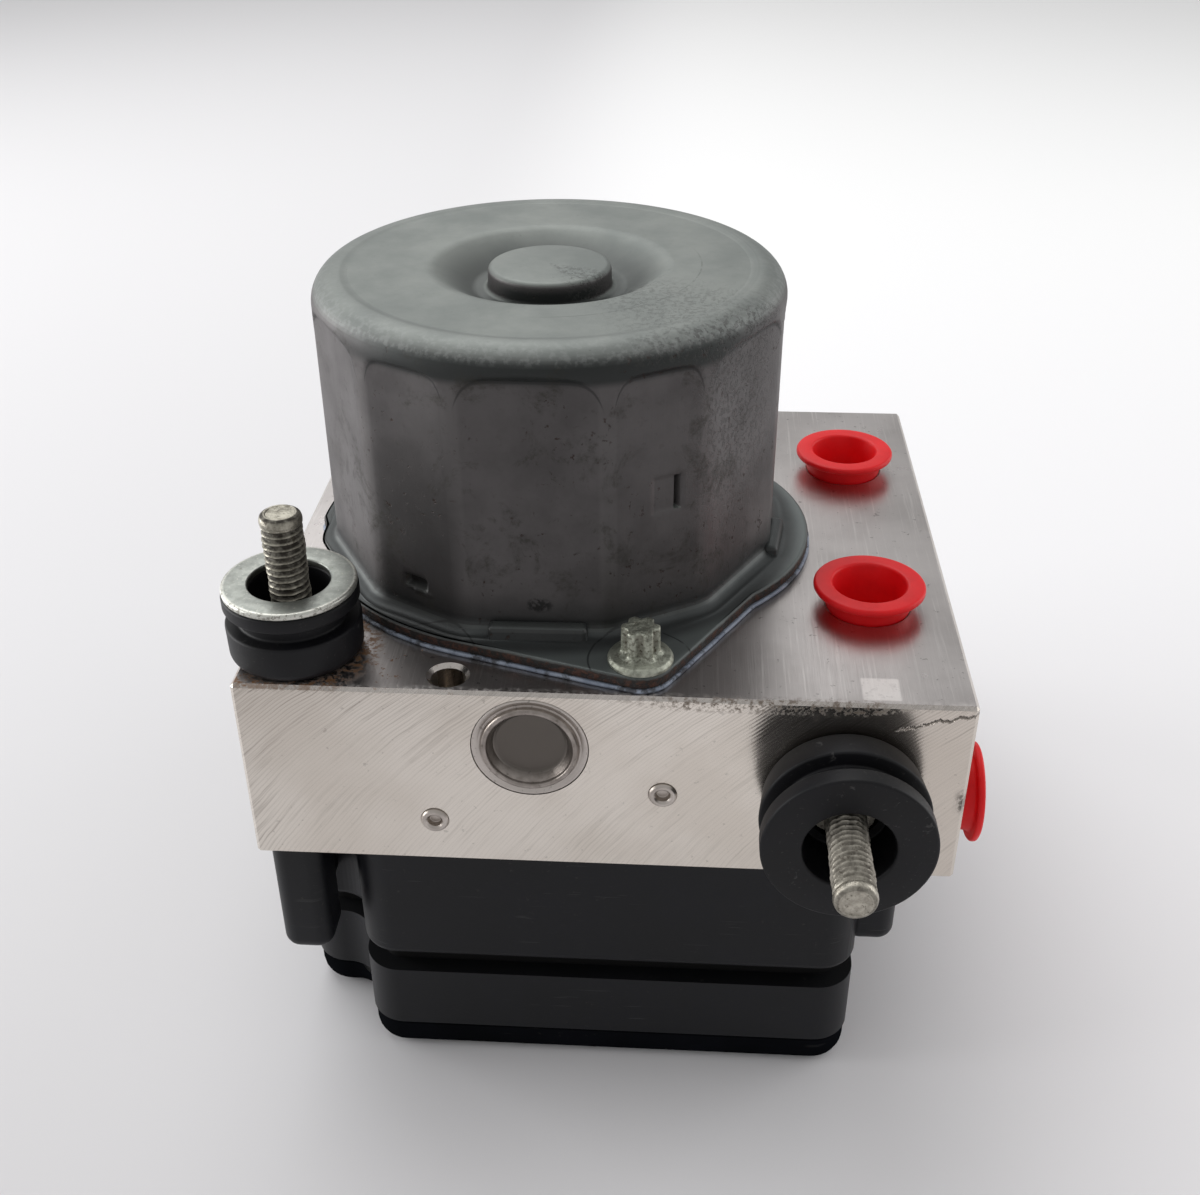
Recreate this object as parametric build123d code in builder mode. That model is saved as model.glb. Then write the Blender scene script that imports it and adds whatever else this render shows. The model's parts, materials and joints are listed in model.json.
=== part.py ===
from build123d import *
from math import asin, cos, pi, radians, sin
import os

# Anti-lock brake modulator: a machined aluminium block carries the pump motor on top
# and the control unit below. Millimetres; +Z runs up the motor axis, +X points to the
# wheel ports and +Y to the connector. The origin is where the motor axis meets the
# bottom of the lid, which the module rests on.

# Clearances
running_fit = 0.05      # turning and sliding metal parts
seat_fit = 0.02         # pressed or clamped parts
loose_fit = 0.2         # parts that drop in
end_gap = 1.0           # room past the end of a screw, shaft or drilled hole
cut_over = 0.1          # a turned cut starts this far outside the face

# Hydraulic block
block_width = 104.0
block_depth = 96.5
block_height = 31.0
block_edge_chamfer = 0.5
axis_from_left = 42.0
axis_from_front = 46.0

# Pump motor
can_height = 46.0               # from the block's top face to the can's end face
can_wall = 1.8
can_flat_pairs = 6              # wide flats alternate with narrow ones
can_wide_apothem = 34.1
can_narrow_apothem = 34.8
can_corner_radius = 5.0
can_first_flat_angle = 270.0
can_flats_drop = 6.6            # the flats run out this far below the end face
flats_run_out = 2.0             # height over which a flat turns into the round
flats_overlap = 0.5
can_round_radius = 35.4
can_shoulder_radius = 4.0
dish_radius = 18.5
dish_depth = 3.1
dish_edge = 1.0                 # width of the dish's rounded bottom and rim
boss_radius = 9.2
boss_drop = 0.2                 # boss below the can's end face
boss_edge_radius = 0.9
boss_root = 0.5                 # boss below the dish's floor
flange_radius = 38.5
flange_thickness = 1.8
flange_bulge_radius = 30.0
flange_bulge_offset = 11.2
flange_flat_angle = 200.0
flange_flat_apothem = 36.4
gasket_thickness = 0.6
gasket_margin = 0.4
gasket_inner_radius = 31.0
motor_screw_angles = (291.0, 111.0)
motor_screw_circle = 43.0
motor_lobe_radius = 4.8
bridge_angles = (272.0, 344.0)
bridge_length = 14.5
bridge_width = 3.0
bridge_corner_radius = 1.0
bridge_height = 1.6
bridge_circle = 34.8

# Motor screws and control unit screws
screw_radius = 2.5
screw_hole_radius = 2.7
motor_screw_depth = 9.0
motor_screw_head_radius = 2.75
motor_screw_head_height = 5.6
motor_screw_lobe_radius = 0.8
motor_screw_washer_radius = 4.65
motor_screw_washer_thickness = 1.2
motor_screw_washer_edge = 0.72
unit_screw_depth = 9.0
unit_screw_head_radius = 3.1
unit_screw_head_height = 3.5
unit_screw_recess = 0.5         # head above the pillar's foot

# Armature
shaft_radius = 4.0
shaft_pilot_radius = 3.0
core_slots = 10
core_slot_width = 5.0
core_slot_mouth = 1.7
core_hub_radius = 12.0
core_tooth_rim = 2.6
winding_head_height = 2.6
winding_gap = 2.0               # windings below the can's bush
commutator_gap_below = 2.0      # commutator above the brush plate
riser_length = 1.0              # between the commutator and the windings
commutator_radius = 9.0
commutator_height = 10.0
commutator_bars = 20
commutator_gap = 0.5
magnet_thickness = 5.0
magnet_seat = 0.3               # glue between a magnet and the can's wide flats
magnet_arc = 62.0
magnet_count = 4
magnet_overhang = 2.0           # magnets beyond each end of the core
air_gap = 0.8

# Bearings
main_bearing_radius = 12.0
main_bearing_width = 6.0
main_ball_radius = 1.9
main_ball_count = 9
main_bearing_ring = 2.6
bearing_above_block = 1.0
bush_wall = 2.0
bush_height = 5.0
bush_shoulder_gap = 1.0         # shaft shoulder below the can's bush
can_bush_radius = 7.4

# Eccentric and pump
eccentric_offset = 1.1
eccentric_journal_radius = 5.5
eccentric_ring_wall = 1.3
eccentric_ring_height = 8.0
journal_margin = 0.5            # journal below the ring
needle_radius = 0.85
needle_gap = 0.1
chamber_wall_gap = 1.5          # ring to chamber wall at the end of its throw
chamber_clearance = 2.0
pump_axis_depth = 9.4           # pump axis below the block's top face
pump_plug_radius = 8.45
pump_plug_recess_radius = 5.3
pump_plug_recess_depth = 1.6
pump_plug_depth = 6.0
pump_plug_rise = 0.7
pump_plug_edge = 0.5
pump_plug_rim_slope = 0.6
pump_piston_radius = 3.5
pump_piston_length = 16.0
pump_piston_nose = 1.0
pump_cylinder_radius = 7.0
pump_cylinder_start = 14.0      # from the motor axis
pump_spring_wire = 0.4
pump_spring_radius = 2.3
pump_spring_turns = 6

# Accumulators
accumulator_radius = 10.0
accumulator_depth = 23.0
accumulator_offset = 20.0       # each side of the motor axis
accumulator_height = 15.5       # axis above the block's bottom face
accumulator_cap_thickness = 2.5
accumulator_cap_edge = 0.45
accumulator_cap_dish_radius = 6.0
accumulator_cap_dish_depth = 0.8
accumulator_piston_thickness = 6.0
accumulator_piston_wall = 1.8
accumulator_spring_wire = 0.7
accumulator_spring_turns = 4

# Ports and their transport plugs
master_port_radius = 5.6
master_port_mouth = 6.6
master_plug_flange = 8.4
wheel_port_radius = 4.6
wheel_port_mouth = 5.7
wheel_plug_flange = 7.5
port_mouth_depth = 2.0
port_depth = 12.0
master_port_from_right = 12.8
master_port_from_front = 26.3
master_port_pitch = 45.8
wheel_port_margin = 10.0        # first and last port from the block's front and back
wheel_port_height = 8.6
wheel_port_count = 4
plug_flange_thickness = 1.1
plug_flange_gap = 2.7           # flange above the face it stands on
plug_flare = 0.3                # neck beyond the port's mouth
plug_taper = 0.6                # tip inside the port
plug_wall = 1.0
plug_depth = 9.0

# Solenoid valves
valve_rows = 4
valve_pitch = 20.0
outlet_column_from_right = 42.0
valve_body_radius = 5.0
valve_body_height = 14.0
valve_shoulder_height = 8.4
valve_shoulder = 0.8
valve_end = 2.0                 # solid metal above the plunger's pin
dome_radius = 3.6
dome_wall = 0.6
dome_height = 18.0
dome_edge = 0.6
plunger_length = 14.0
plunger_pin_radius = 0.8
plunger_gap = 0.5
coil_radius = 6.7
coil_height = 13.0
coil_gap = 0.6                  # between the two columns of coils
drilling_radius = 1.4

# Mounting studs and rubber mounts
stud_radius = 3.0
stud_length = 22.5              # above the face
stud_depth = 10.0
stud_collar_radius = 5.0
stud_collar_height = 4.0
stud_tip_chamfer = 0.6
top_stud_from_left = 7.6
top_stud_from_front = 9.6
front_stud_from_left = 86.5
front_stud_height = 15.5        # above the block's bottom face
top_rubber_radius = 9.7
top_rubber_bore = 5.85
top_rubber_height = 10.7
top_washer_radius = 9.6
top_washer_thickness = 1.0
front_rubber_radius = 12.1
front_rubber_bore = 6.35
front_rubber_height = 12.3
rubber_body_height = 6.0
rubber_groove_height = 2.6
rubber_groove_depth = 1.3
rubber_foot_width = 1.0
rubber_foot_height = 1.2

# Threaded hole and expander plugs
tapped_hole_from_left = 30.3
tapped_hole_from_front = 4.1
tapped_hole_radius = 2.5
tapped_hole_mouth = 3.1
tapped_hole_depth = 12.0
expander_radius = 2.1
expander_recess_radius = 1.0
expander_recess_depth = 1.2
expander_rise = 0.6
expander_depth = 3.5
low_expander_from_left = 27.6
low_expander_height = 7.8       # above the block's bottom face
high_expander_from_left = 61.0
high_expander_height = 14.0

# Control unit
lid_height = 5.2
lid_edge_radius = 3.0
lid_wall = 2.2
skirt_height = 13.3
groove_height = 3.5
groove_inset = 1.2
wall_height = 23.5
unit_wall = 2.5
unit_corner_radius = 6.0
unit_front_gap = 3.0            # wall behind the block's front face
unit_box_from_left = 12.8
unit_box_from_right = 11.7
wing_from_left = 0.5
wing_from_front = 16.0
wing_from_back = 14.5
wing_overlap = 8.0
connector_length = 65.0
connector_depth = 24.0
connector_gap = 1.5             # between the block's back face and the socket
connector_rise = 16.5           # socket above the block's bottom face
socket_depth = 22.0
pillar_width = 8.0
pillar_length = 9.0
pillar_height = 21.5
pillar_edge_radius = 2.5
pillar_corner_radius = 2.6
right_pillar_out = 2.0          # pillar middles beside the box's right side
front_right_pillar_back = 4.7   # behind the box's front
pillar_from_edge = 5.2
web_width = 4.0
seal_thickness = 1.0
seal_width = 2.0
board_thickness = 1.6
board_height = 8.0              # above the lid's top edge
board_margin = 1.0
board_post_radius = 1.8
board_post_from_side = 9.0
board_post_from_end = 7.0
pin_size = 0.8
pin_pitch = 3.4
pin_rows = 3
pin_row_pitch = 4.5
pin_columns = 12
pin_height = 12.0               # above the socket floor
power_pin_width = 5.0
power_pin_thickness = 1.0

# Brush gear
brush_plate_thickness = 2.5
brush_plate_radius = 29.5
brush_width = 5.0
brush_height = 5.0
brush_length = 9.0
holder_wall = 0.8
holder_length = 16.5
holder_leg_height = 3.0
holder_gap = 1.5                # between the commutator and the holder
brush_spring_wire = 0.25
brush_spring_turns = 5
lead_position = (12.5, 22.5)
lead_hole_radius = 3.5
lead_radius = 2.6
lead_rise = 1.0                 # lead above the brush plate

# Sizes that follow from others
core_radius = can_wide_apothem - can_wall - magnet_seat - magnet_thickness - air_gap
needle_circle = eccentric_journal_radius + running_fit + needle_radius
needle_count = int(pi / asin((needle_radius + needle_gap / 2) / needle_circle))
ring_bore = needle_circle + needle_radius + running_fit
eccentric_ring_radius = ring_bore + eccentric_ring_wall
chamber_radius = eccentric_ring_radius + eccentric_offset + chamber_wall_gap
inlet_column_from_right = outlet_column_from_right - 2 * coil_radius - coil_gap

# Levels above the resting face
unit_bottom = lid_height
groove_bottom = unit_bottom + skirt_height
groove_top = groove_bottom + groove_height
block_bottom = groove_top + wall_height
block_top = block_bottom + block_height
flange_bottom = block_top + gasket_thickness
flange_top = flange_bottom + flange_thickness
can_top = block_top + can_height
boss_top = can_top - boss_drop
pump_axis = block_top - pump_axis_depth

# Sides of the block about the motor axis
block_left = -axis_from_left
block_right = block_left + block_width
block_front = -axis_from_front
block_back = block_front + block_depth

# Faces of the block, each with its normal pointing out
top_face = Plane.XY.offset(block_top)
front_face = Plane((0, block_front, 0), x_dir=(1, 0, 0), z_dir=(0, -1, 0))
back_face = Plane((0, block_back, 0), x_dir=(-1, 0, 0), z_dir=(0, 1, 0))
left_face = Plane((block_left, 0, 0), x_dir=(0, -1, 0), z_dir=(-1, 0, 0))
right_face = Plane((block_right, 0, 0), x_dir=(0, 1, 0), z_dir=(1, 0, 0))


def plane_at(face, point):
    """The face's plane with its origin moved to a point."""
    return Plane(point, x_dir=face.x_dir, z_dir=face.z_dir)


def turn(plane, outline, mode=Mode.ADD):
    """Turn an outline of (radius, height) points about the plane's normal."""
    section = Plane(plane.origin, x_dir=plane.x_dir, z_dir=-plane.y_dir)
    with BuildSketch(section) as half:
        with BuildLine():
            Polyline(*outline, close=True)
        make_face()
    revolve(half.sketch, axis=Axis(plane.origin, plane.z_dir), mode=mode)


def cylinder_on(plane, radius, height, mode=Mode.ADD, inner_radius=0.0):
    """Extrude a disc or ring from the plane, up for a positive height."""
    with BuildSketch(plane) as disc:
        Circle(radius)
        if inner_radius:
            Circle(inner_radius, mode=Mode.SUBTRACT)
    extrude(disc.sketch, amount=height, mode=mode)


def drill(start, end, radius):
    """Cut a straight drilling between two points."""
    way = Vector(*end) - Vector(*start)
    cylinder_on(Plane(start, z_dir=way), radius, way.length, Mode.SUBTRACT)


def spring_on(plane, mean_radius, wire_radius, length, turns):
    """Wind a round-wire spring whose outside is length long, standing on the plane."""
    height = length - 2 * wire_radius
    foot = plane.offset(wire_radius)
    with BuildLine() as wire:
        Helix(height / turns, height, mean_radius, center=foot.origin, direction=foot.z_dir)
    with BuildSketch(Plane(wire.line @ 0, z_dir=wire.line % 0)) as section:
        Circle(wire_radius)
    sweep(section.sketch, path=wire.line, is_frenet=True)


def save(part, name):
    part.part.label = name
    export_step(part.part, f"parts/{name}.step")


def rectangle_between(left, right, front, back):
    """Add a rectangle to the open sketch by its sides."""
    with Locations(((left + right) / 2, (front + back) / 2)):
        Rectangle(right - left, back - front)


os.makedirs("parts", exist_ok=True)

# Positions worked out from the block
master_ports = [
    (block_right - master_port_from_right, block_front + master_port_from_front + row * master_port_pitch)
    for row in range(2)
]
wheel_port_pitch = (block_depth - 2 * wheel_port_margin) / (wheel_port_count - 1)
wheel_ports = [
    (block_front + wheel_port_margin + row * wheel_port_pitch, block_bottom + wheel_port_height)
    for row in range(wheel_port_count)
]
# each port: the plug's name, its plane, bore radius, mouth radius and plug flange radius
ports = [
    (f"master_port_plug_{number}", plane_at(top_face, (x, y, block_top)), master_port_radius,
     master_port_mouth, master_plug_flange)
    for number, (x, y) in enumerate(master_ports, 1)
]
ports += [
    (f"wheel_port_plug_{number}", plane_at(right_face, (block_right, y, z)), wheel_port_radius,
     wheel_port_mouth, wheel_plug_flange)
    for number, (y, z) in enumerate(wheel_ports, 1)
]

valve_middle = (block_front + block_back) / 2
valve_ys = [valve_middle + (row - (valve_rows - 1) / 2) * valve_pitch for row in range(valve_rows)]
inlet_x = block_right - inlet_column_from_right
outlet_x = block_right - outlet_column_from_right
valve_plane = Plane.XY.offset(block_bottom)

top_stud_plane = plane_at(
    top_face, (block_left + top_stud_from_left, block_front + top_stud_from_front, block_top)
)
front_stud_plane = plane_at(
    front_face, (block_left + front_stud_from_left, block_front, block_bottom + front_stud_height)
)
tapped_hole_plane = plane_at(
    top_face, (block_left + tapped_hole_from_left, block_front + tapped_hole_from_front, block_top)
)
expander_places = [
    (block_left + low_expander_from_left, block_bottom + low_expander_height),
    (block_left + high_expander_from_left, block_bottom + high_expander_height),
]
expander_planes = [
    plane_at(face, (x, face.origin.Y, z)) for face in (front_face, back_face) for x, z in expander_places
]
accumulator_axis = block_bottom + accumulator_height
accumulator_planes = [
    plane_at(left_face, (block_left, side * accumulator_offset, accumulator_axis)) for side in (-1, 1)
]
pump_planes = [plane_at(face, (0, face.origin.Y, pump_axis)) for face in (front_face, back_face)]
pump_reaches = [axis_from_front, block_depth - axis_from_front]

motor_screw_places = [
    (motor_screw_circle * cos(radians(angle)), motor_screw_circle * sin(radians(angle)))
    for angle in motor_screw_angles
]

# Control unit layout under the block
box_left = block_left + unit_box_from_left
box_right = block_right - unit_box_from_right
box_front = block_front + unit_front_gap
box_back = block_back + connector_gap
wing_left = block_left + wing_from_left
wing_front = block_front + wing_from_front
wing_back = block_back - wing_from_back
connector_left = box_right - connector_length
connector_back = box_back + connector_depth
socket_top = block_bottom + connector_rise
socket_floor = socket_top - socket_depth
pillar_bottom = block_bottom - pillar_height
left_pillar_x = block_left + pillar_from_edge
wheel_port_middle = (wheel_ports[1][0] + wheel_ports[2][0]) / 2
front_left_pillar = (left_pillar_x, block_front + pillar_from_edge + loose_fit)
back_left_pillar = (left_pillar_x, block_back - pillar_from_edge)
right_pillar = (box_right + right_pillar_out, wheel_port_middle)
front_right_pillar = (
    box_right + right_pillar_out, box_front + front_right_pillar_back + pillar_length / 2,
)
screw_pillars = [front_left_pillar, back_left_pillar, right_pillar]
pillars = screw_pillars + [front_right_pillar]

# Shaft and bearing levels
chamber_floor = pump_axis - eccentric_ring_height / 2 - chamber_clearance
bearing_bottom = block_top + bearing_above_block - main_bearing_width
pilot_bottom = chamber_floor - bush_height - end_gap
bush_bottom = can_top - dish_depth - can_wall - loose_fit
shaft_top = boss_top - can_wall - end_gap
plate_top = block_top + brush_plate_thickness
commutator_bottom = plate_top + commutator_gap_below
core_bottom = commutator_bottom + commutator_height + riser_length + winding_head_height
core_top = bush_bottom - winding_gap - winding_head_height - loose_fit
core_height = core_top - core_bottom
bearing_groove_radius = (main_bearing_radius + shaft_radius) / 2
journal_bottom = pump_axis - eccentric_ring_height / 2 - journal_margin
journal_top = bearing_bottom - loose_fit

with BuildPart() as hydraulic_block:
    with BuildSketch(Plane.XY.offset(block_bottom)):
        rectangle_between(block_left, block_right, block_front, block_back)
    extrude(amount=block_height)
    chamfer(hydraulic_block.edges(), block_edge_chamfer)
    # bearing seat, eccentric chamber and pilot bore on the motor axis
    cylinder_on(top_face, main_bearing_radius + seat_fit, bearing_bottom - block_top, Mode.SUBTRACT)
    cylinder_on(top_face, chamber_radius, chamber_floor - block_top, Mode.SUBTRACT)
    cylinder_on(
        top_face, shaft_pilot_radius + running_fit + bush_wall + seat_fit, pilot_bottom - block_top,
        Mode.SUBTRACT,
    )
    # pump bores from the front and back
    for plane, reach in zip(pump_planes, pump_reaches):
        cylinder_on(plane, pump_plug_radius + seat_fit, -pump_plug_depth, Mode.SUBTRACT)
        cylinder_on(plane, pump_cylinder_radius + seat_fit, pump_cylinder_start - reach, Mode.SUBTRACT)
        cylinder_on(plane, pump_piston_radius + 2 * loose_fit, -reach, Mode.SUBTRACT)
    for plane in accumulator_planes:
        cylinder_on(plane, accumulator_radius, -accumulator_depth, Mode.SUBTRACT)
    for _, plane, bore, mouth, _ in ports:
        cylinder_on(plane, mouth, -port_mouth_depth, Mode.SUBTRACT)
        cylinder_on(plane, bore, -port_depth, Mode.SUBTRACT)
    for x in (inlet_x, outlet_x):
        for y in valve_ys:
            cylinder_on(
                plane_at(valve_plane, (x, y, block_bottom)),
                valve_body_radius + seat_fit, valve_body_height + loose_fit, Mode.SUBTRACT,
            )
    for x, y in motor_screw_places:
        cylinder_on(plane_at(top_face, (x, y, block_top)), screw_radius + seat_fit, -motor_screw_depth,
                    Mode.SUBTRACT)
    for x, y in screw_pillars:
        cylinder_on(plane_at(valve_plane, (x, y, block_bottom)), screw_radius + seat_fit, unit_screw_depth,
                    Mode.SUBTRACT)
    for plane in (top_stud_plane, front_stud_plane):
        cylinder_on(plane, stud_radius + seat_fit, -stud_depth, Mode.SUBTRACT)
    turn(
        tapped_hole_plane,
        [
            (0, cut_over), (tapped_hole_mouth, cut_over), (tapped_hole_mouth, 0),
            (tapped_hole_radius, tapped_hole_radius - tapped_hole_mouth),
            (tapped_hole_radius, -tapped_hole_depth), (0, -tapped_hole_depth - tapped_hole_radius / 2),
        ],
        Mode.SUBTRACT,
    )
    cylinder_on(
        plane_at(top_face, (*lead_position, block_top)), lead_hole_radius, -block_height, Mode.SUBTRACT
    )
    # drillings that join the valves, ports, accumulators and pump bores
    for plane in expander_planes:
        cylinder_on(plane, expander_radius + seat_fit, -expander_depth, Mode.SUBTRACT)
    valve_top = block_bottom + valve_body_height - drilling_radius
    for row in range(valve_rows):
        valve_y = valve_ys[row]
        port_y, port_z = wheel_ports[row]
        drill((block_right - port_depth, port_y, port_z), (inlet_x, valve_y, port_z), drilling_radius)
        drill((inlet_x, valve_y, port_z), (outlet_x, valve_y, port_z), drilling_radius)
    for side in range(2):
        port_x, port_y = master_ports[side]
        near_row, far_row = (0, 1) if side == 0 else (3, 2)
        face_y = (block_front, block_back)[side]
        low_x, low_z = expander_places[0]
        high_x, high_z = expander_places[1]
        sign = (-1, 1)[side]
        store_y = sign * accumulator_offset
        pump_y = sign * (pump_cylinder_start + pump_cylinder_radius)
        port_end = (port_x, port_y, block_top - port_depth)
        drill(port_end, (inlet_x, valve_ys[near_row], valve_top), drilling_radius)
        drill(port_end, (inlet_x, valve_ys[far_row], valve_top), drilling_radius)
        drill((high_x, face_y, high_z), (high_x, valve_ys[far_row], high_z), drilling_radius)
        drill((low_x, face_y, low_z), (low_x, store_y, low_z), drilling_radius)
        drill((low_x, store_y, low_z), (block_left + accumulator_depth, store_y, low_z), drilling_radius)
        drill((low_x, store_y, low_z), (0, pump_y, pump_axis), drilling_radius)
save(hydraulic_block, "hydraulic_block")


def can_section(plane, inset):
    """The can's section of flats with rounded corners, drawn in by inset."""
    sides = []
    step = 180 / can_flat_pairs
    for pair in range(can_flat_pairs):
        wide_angle = can_first_flat_angle + 2 * step * pair
        sides.append((radians(wide_angle), can_wide_apothem - inset))
        sides.append((radians(wide_angle + step), can_narrow_apothem - inset))
    corners = []
    for (angle, apothem), (next_angle, next_apothem) in zip(sides, sides[1:] + sides[:1]):
        spread = sin(next_angle - angle)
        corners.append((
            (apothem * sin(next_angle) - next_apothem * sin(angle)) / spread,
            (next_apothem * cos(angle) - apothem * cos(next_angle)) / spread,
        ))
    with BuildSketch(plane) as section:
        with BuildLine():
            Polyline(*corners, close=True)
        make_face()
        fillet(section.vertices(), can_corner_radius - inset)
    return section.sketch


def flange_section(plane, margin):
    """The motor flange's outline, grown by margin, with its two screw lobes."""
    with BuildSketch(plane) as section:
        Circle(flange_radius + margin)
        with Locations(*motor_screw_places):
            Circle(motor_lobe_radius + margin)
        make_hull()
        with Locations((flange_bulge_offset, 0)):
            Circle(flange_bulge_radius + margin)
        with PolarLocations(flange_flat_apothem + margin + flange_radius, 1, start_angle=flange_flat_angle):
            Rectangle(2 * flange_radius, 2 * flange_radius, mode=Mode.SUBTRACT)
    return section.sketch


flats_top = can_top - can_flats_drop
inner_flats_top = flats_top - can_wall
inner_flat_radius = can_wide_apothem - can_wall - loose_fit
inner_round_radius = can_round_radius - can_wall - flats_overlap
with BuildPart() as motor_can:
    flats_bottom = Plane.XY.offset(flange_bottom)
    extrude(can_section(flats_bottom, 0), amount=flats_top - flange_bottom)
    turn(
        Plane.XY,
        [
            (0, flats_top - flats_run_out), (can_wide_apothem - flats_overlap, flats_top - flats_run_out),
            (can_round_radius, flats_top), (can_round_radius, can_top), (0, can_top),
        ],
    )
    shoulder_edge = motor_can.edges().filter_by(GeomType.CIRCLE).sort_by(Axis.Z)[-1]
    fillet(shoulder_edge, can_shoulder_radius)
    extrude(flange_section(flats_bottom, 0), amount=flange_thickness)
    # dished end with the bearing boss standing in it
    turn(
        Plane.XY.offset(can_top),
        [
            (0, cut_over), (dish_radius, cut_over), (dish_radius, 0), (boss_radius + dish_edge, -dish_depth),
            (0, -dish_depth),
        ],
        Mode.SUBTRACT,
    )
    boss_foot = can_top - dish_depth - boss_root
    cylinder_on(Plane.XY.offset(boss_foot), boss_radius, boss_top - boss_foot)
    fillet(motor_can.edges().filter_by_position(Axis.Z, boss_top, boss_top), boss_edge_radius)
    # inside of the shell
    extrude(can_section(flats_bottom, can_wall), amount=inner_flats_top - flange_bottom, mode=Mode.SUBTRACT)
    turn(
        Plane.XY,
        [
            (0, inner_flats_top - flats_run_out), (inner_flat_radius, inner_flats_top - flats_run_out),
            (inner_flat_radius, inner_flats_top), (inner_round_radius, inner_flats_top + can_wall),
            (inner_round_radius, can_top - can_shoulder_radius),
            (can_round_radius - can_wall - can_shoulder_radius, can_top - can_wall),
            (dish_radius + dish_edge, can_top - can_wall), (boss_radius, can_top - dish_depth - can_wall),
            (0, can_top - dish_depth - can_wall),
        ],
        Mode.SUBTRACT,
    )
    cylinder_on(
        Plane.XY.offset(boss_top - can_wall), can_bush_radius + seat_fit,
        can_top - dish_depth - 2 * can_wall - boss_top, Mode.SUBTRACT,
    )
    for x, y in motor_screw_places:
        cylinder_on(Plane((x, y, flange_bottom)), screw_hole_radius, flange_thickness, Mode.SUBTRACT)
    for angle in bridge_angles:
        bridge_plane = Plane(
            (bridge_circle * cos(radians(angle)), bridge_circle * sin(radians(angle)), flange_bottom),
            x_dir=(-sin(radians(angle)), cos(radians(angle)), 0),
        )
        with BuildSketch(bridge_plane) as bridge:
            RectangleRounded(bridge_length, bridge_width, bridge_corner_radius)
        extrude(bridge.sketch, amount=flange_thickness + bridge_height)
save(motor_can, "motor_can")

with BuildPart() as motor_gasket:
    gasket_plane = Plane.XY.offset(block_top)
    extrude(flange_section(gasket_plane, gasket_margin), amount=gasket_thickness)
    cylinder_on(gasket_plane, gasket_inner_radius, gasket_thickness, Mode.SUBTRACT)
    for x, y in motor_screw_places:
        cylinder_on(Plane((x, y, block_top)), screw_hole_radius, gasket_thickness, Mode.SUBTRACT)
save(motor_gasket, "motor_gasket")

with BuildPart() as motor_screws:
    screw_end = block_top - flange_top - motor_screw_depth + end_gap
    for x, y in motor_screw_places:
        seat = Plane((x, y, flange_top))
        turn(
            seat,
            [
                (0, screw_end), (screw_radius, screw_end), (screw_radius, 0),
                (motor_screw_washer_radius, 0), (motor_screw_washer_radius, motor_screw_washer_edge),
                (motor_screw_head_radius + loose_fit, motor_screw_washer_thickness),
                (0, motor_screw_washer_thickness),
            ],
        )
        # six lobes round the driving head
        with BuildSketch(seat) as head:
            Circle(motor_screw_head_radius - motor_screw_lobe_radius / 2)
            with PolarLocations(motor_screw_head_radius - motor_screw_lobe_radius, 6):
                Circle(motor_screw_lobe_radius)
        extrude(head.sketch, amount=motor_screw_head_height)
save(motor_screws, "motor_screws")

# Magnets glued inside the flats, and the armature that turns between them
magnet_inner_radius = core_radius + air_gap
with BuildPart() as motor_magnets:
    magnet_bottom = core_bottom - magnet_overhang
    magnet_height = core_height + 2 * magnet_overhang
    for number in range(magnet_count):
        start = 360 / magnet_count * number - magnet_arc / 2
        with BuildSketch(Plane.XZ) as magnet:
            with Locations((magnet_inner_radius, magnet_bottom)):
                Rectangle(magnet_thickness, magnet_height, align=Align.MIN)
        revolve(magnet.sketch.rotate(Axis.Z, start), axis=Axis.Z, revolution_arc=magnet_arc)
save(motor_magnets, "motor_magnets")

eccentric_plane = Plane((eccentric_offset, 0, 0))
shaft_shoulder = bush_bottom - bush_shoulder_gap
with BuildPart() as armature_shaft:
    turn(
        Plane.XY,
        [
            (0, pilot_bottom + journal_margin), (shaft_pilot_radius, pilot_bottom + journal_margin),
            (shaft_pilot_radius, journal_bottom), (shaft_radius, journal_bottom),
            (shaft_radius, shaft_shoulder), (shaft_pilot_radius, shaft_shoulder),
            (shaft_pilot_radius, shaft_top), (0, shaft_top),
        ],
    )
    cylinder_on(
        eccentric_plane.offset(journal_bottom), eccentric_journal_radius, journal_top - journal_bottom
    )
save(armature_shaft, "armature_shaft")

with BuildPart() as armature_core:
    with BuildSketch(Plane.XY.offset(core_bottom)):
        Circle(core_radius)
        Circle(shaft_radius + seat_fit, mode=Mode.SUBTRACT)
        with PolarLocations((core_hub_radius + core_radius - core_tooth_rim) / 2, core_slots):
            Rectangle(core_radius - core_tooth_rim - core_hub_radius, core_slot_width, mode=Mode.SUBTRACT)
        with PolarLocations(core_radius - core_tooth_rim / 2, core_slots):
            Rectangle(core_tooth_rim * 2, core_slot_mouth, mode=Mode.SUBTRACT)
    extrude(amount=core_height)
save(armature_core, "armature_core")

with BuildPart() as armature_windings:
    slot_inner = core_hub_radius + loose_fit
    slot_outer = core_radius - core_tooth_rim - loose_fit
    with BuildSketch(Plane.XY.offset(core_bottom - loose_fit)) as slot_fill:
        with PolarLocations((slot_inner + slot_outer) / 2, core_slots):
            Rectangle(slot_outer - slot_inner, core_slot_width - 2 * loose_fit)
    extrude(slot_fill.sketch, amount=core_height + 2 * loose_fit)
    for bottom in (core_bottom - loose_fit - winding_head_height, core_top + loose_fit):
        head_plane = Plane.XY.offset(bottom)
        cylinder_on(head_plane, slot_outer, winding_head_height, inner_radius=slot_inner)
save(armature_windings, "armature_windings")

with BuildPart() as commutator:
    with BuildSketch(Plane.XY.offset(commutator_bottom)):
        Circle(commutator_radius)
        Circle(shaft_radius + seat_fit, mode=Mode.SUBTRACT)
        with PolarLocations(commutator_radius, commutator_bars):
            Rectangle(commutator_gap * 2, commutator_gap, mode=Mode.SUBTRACT)
    extrude(amount=commutator_height)
save(commutator, "commutator")

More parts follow.
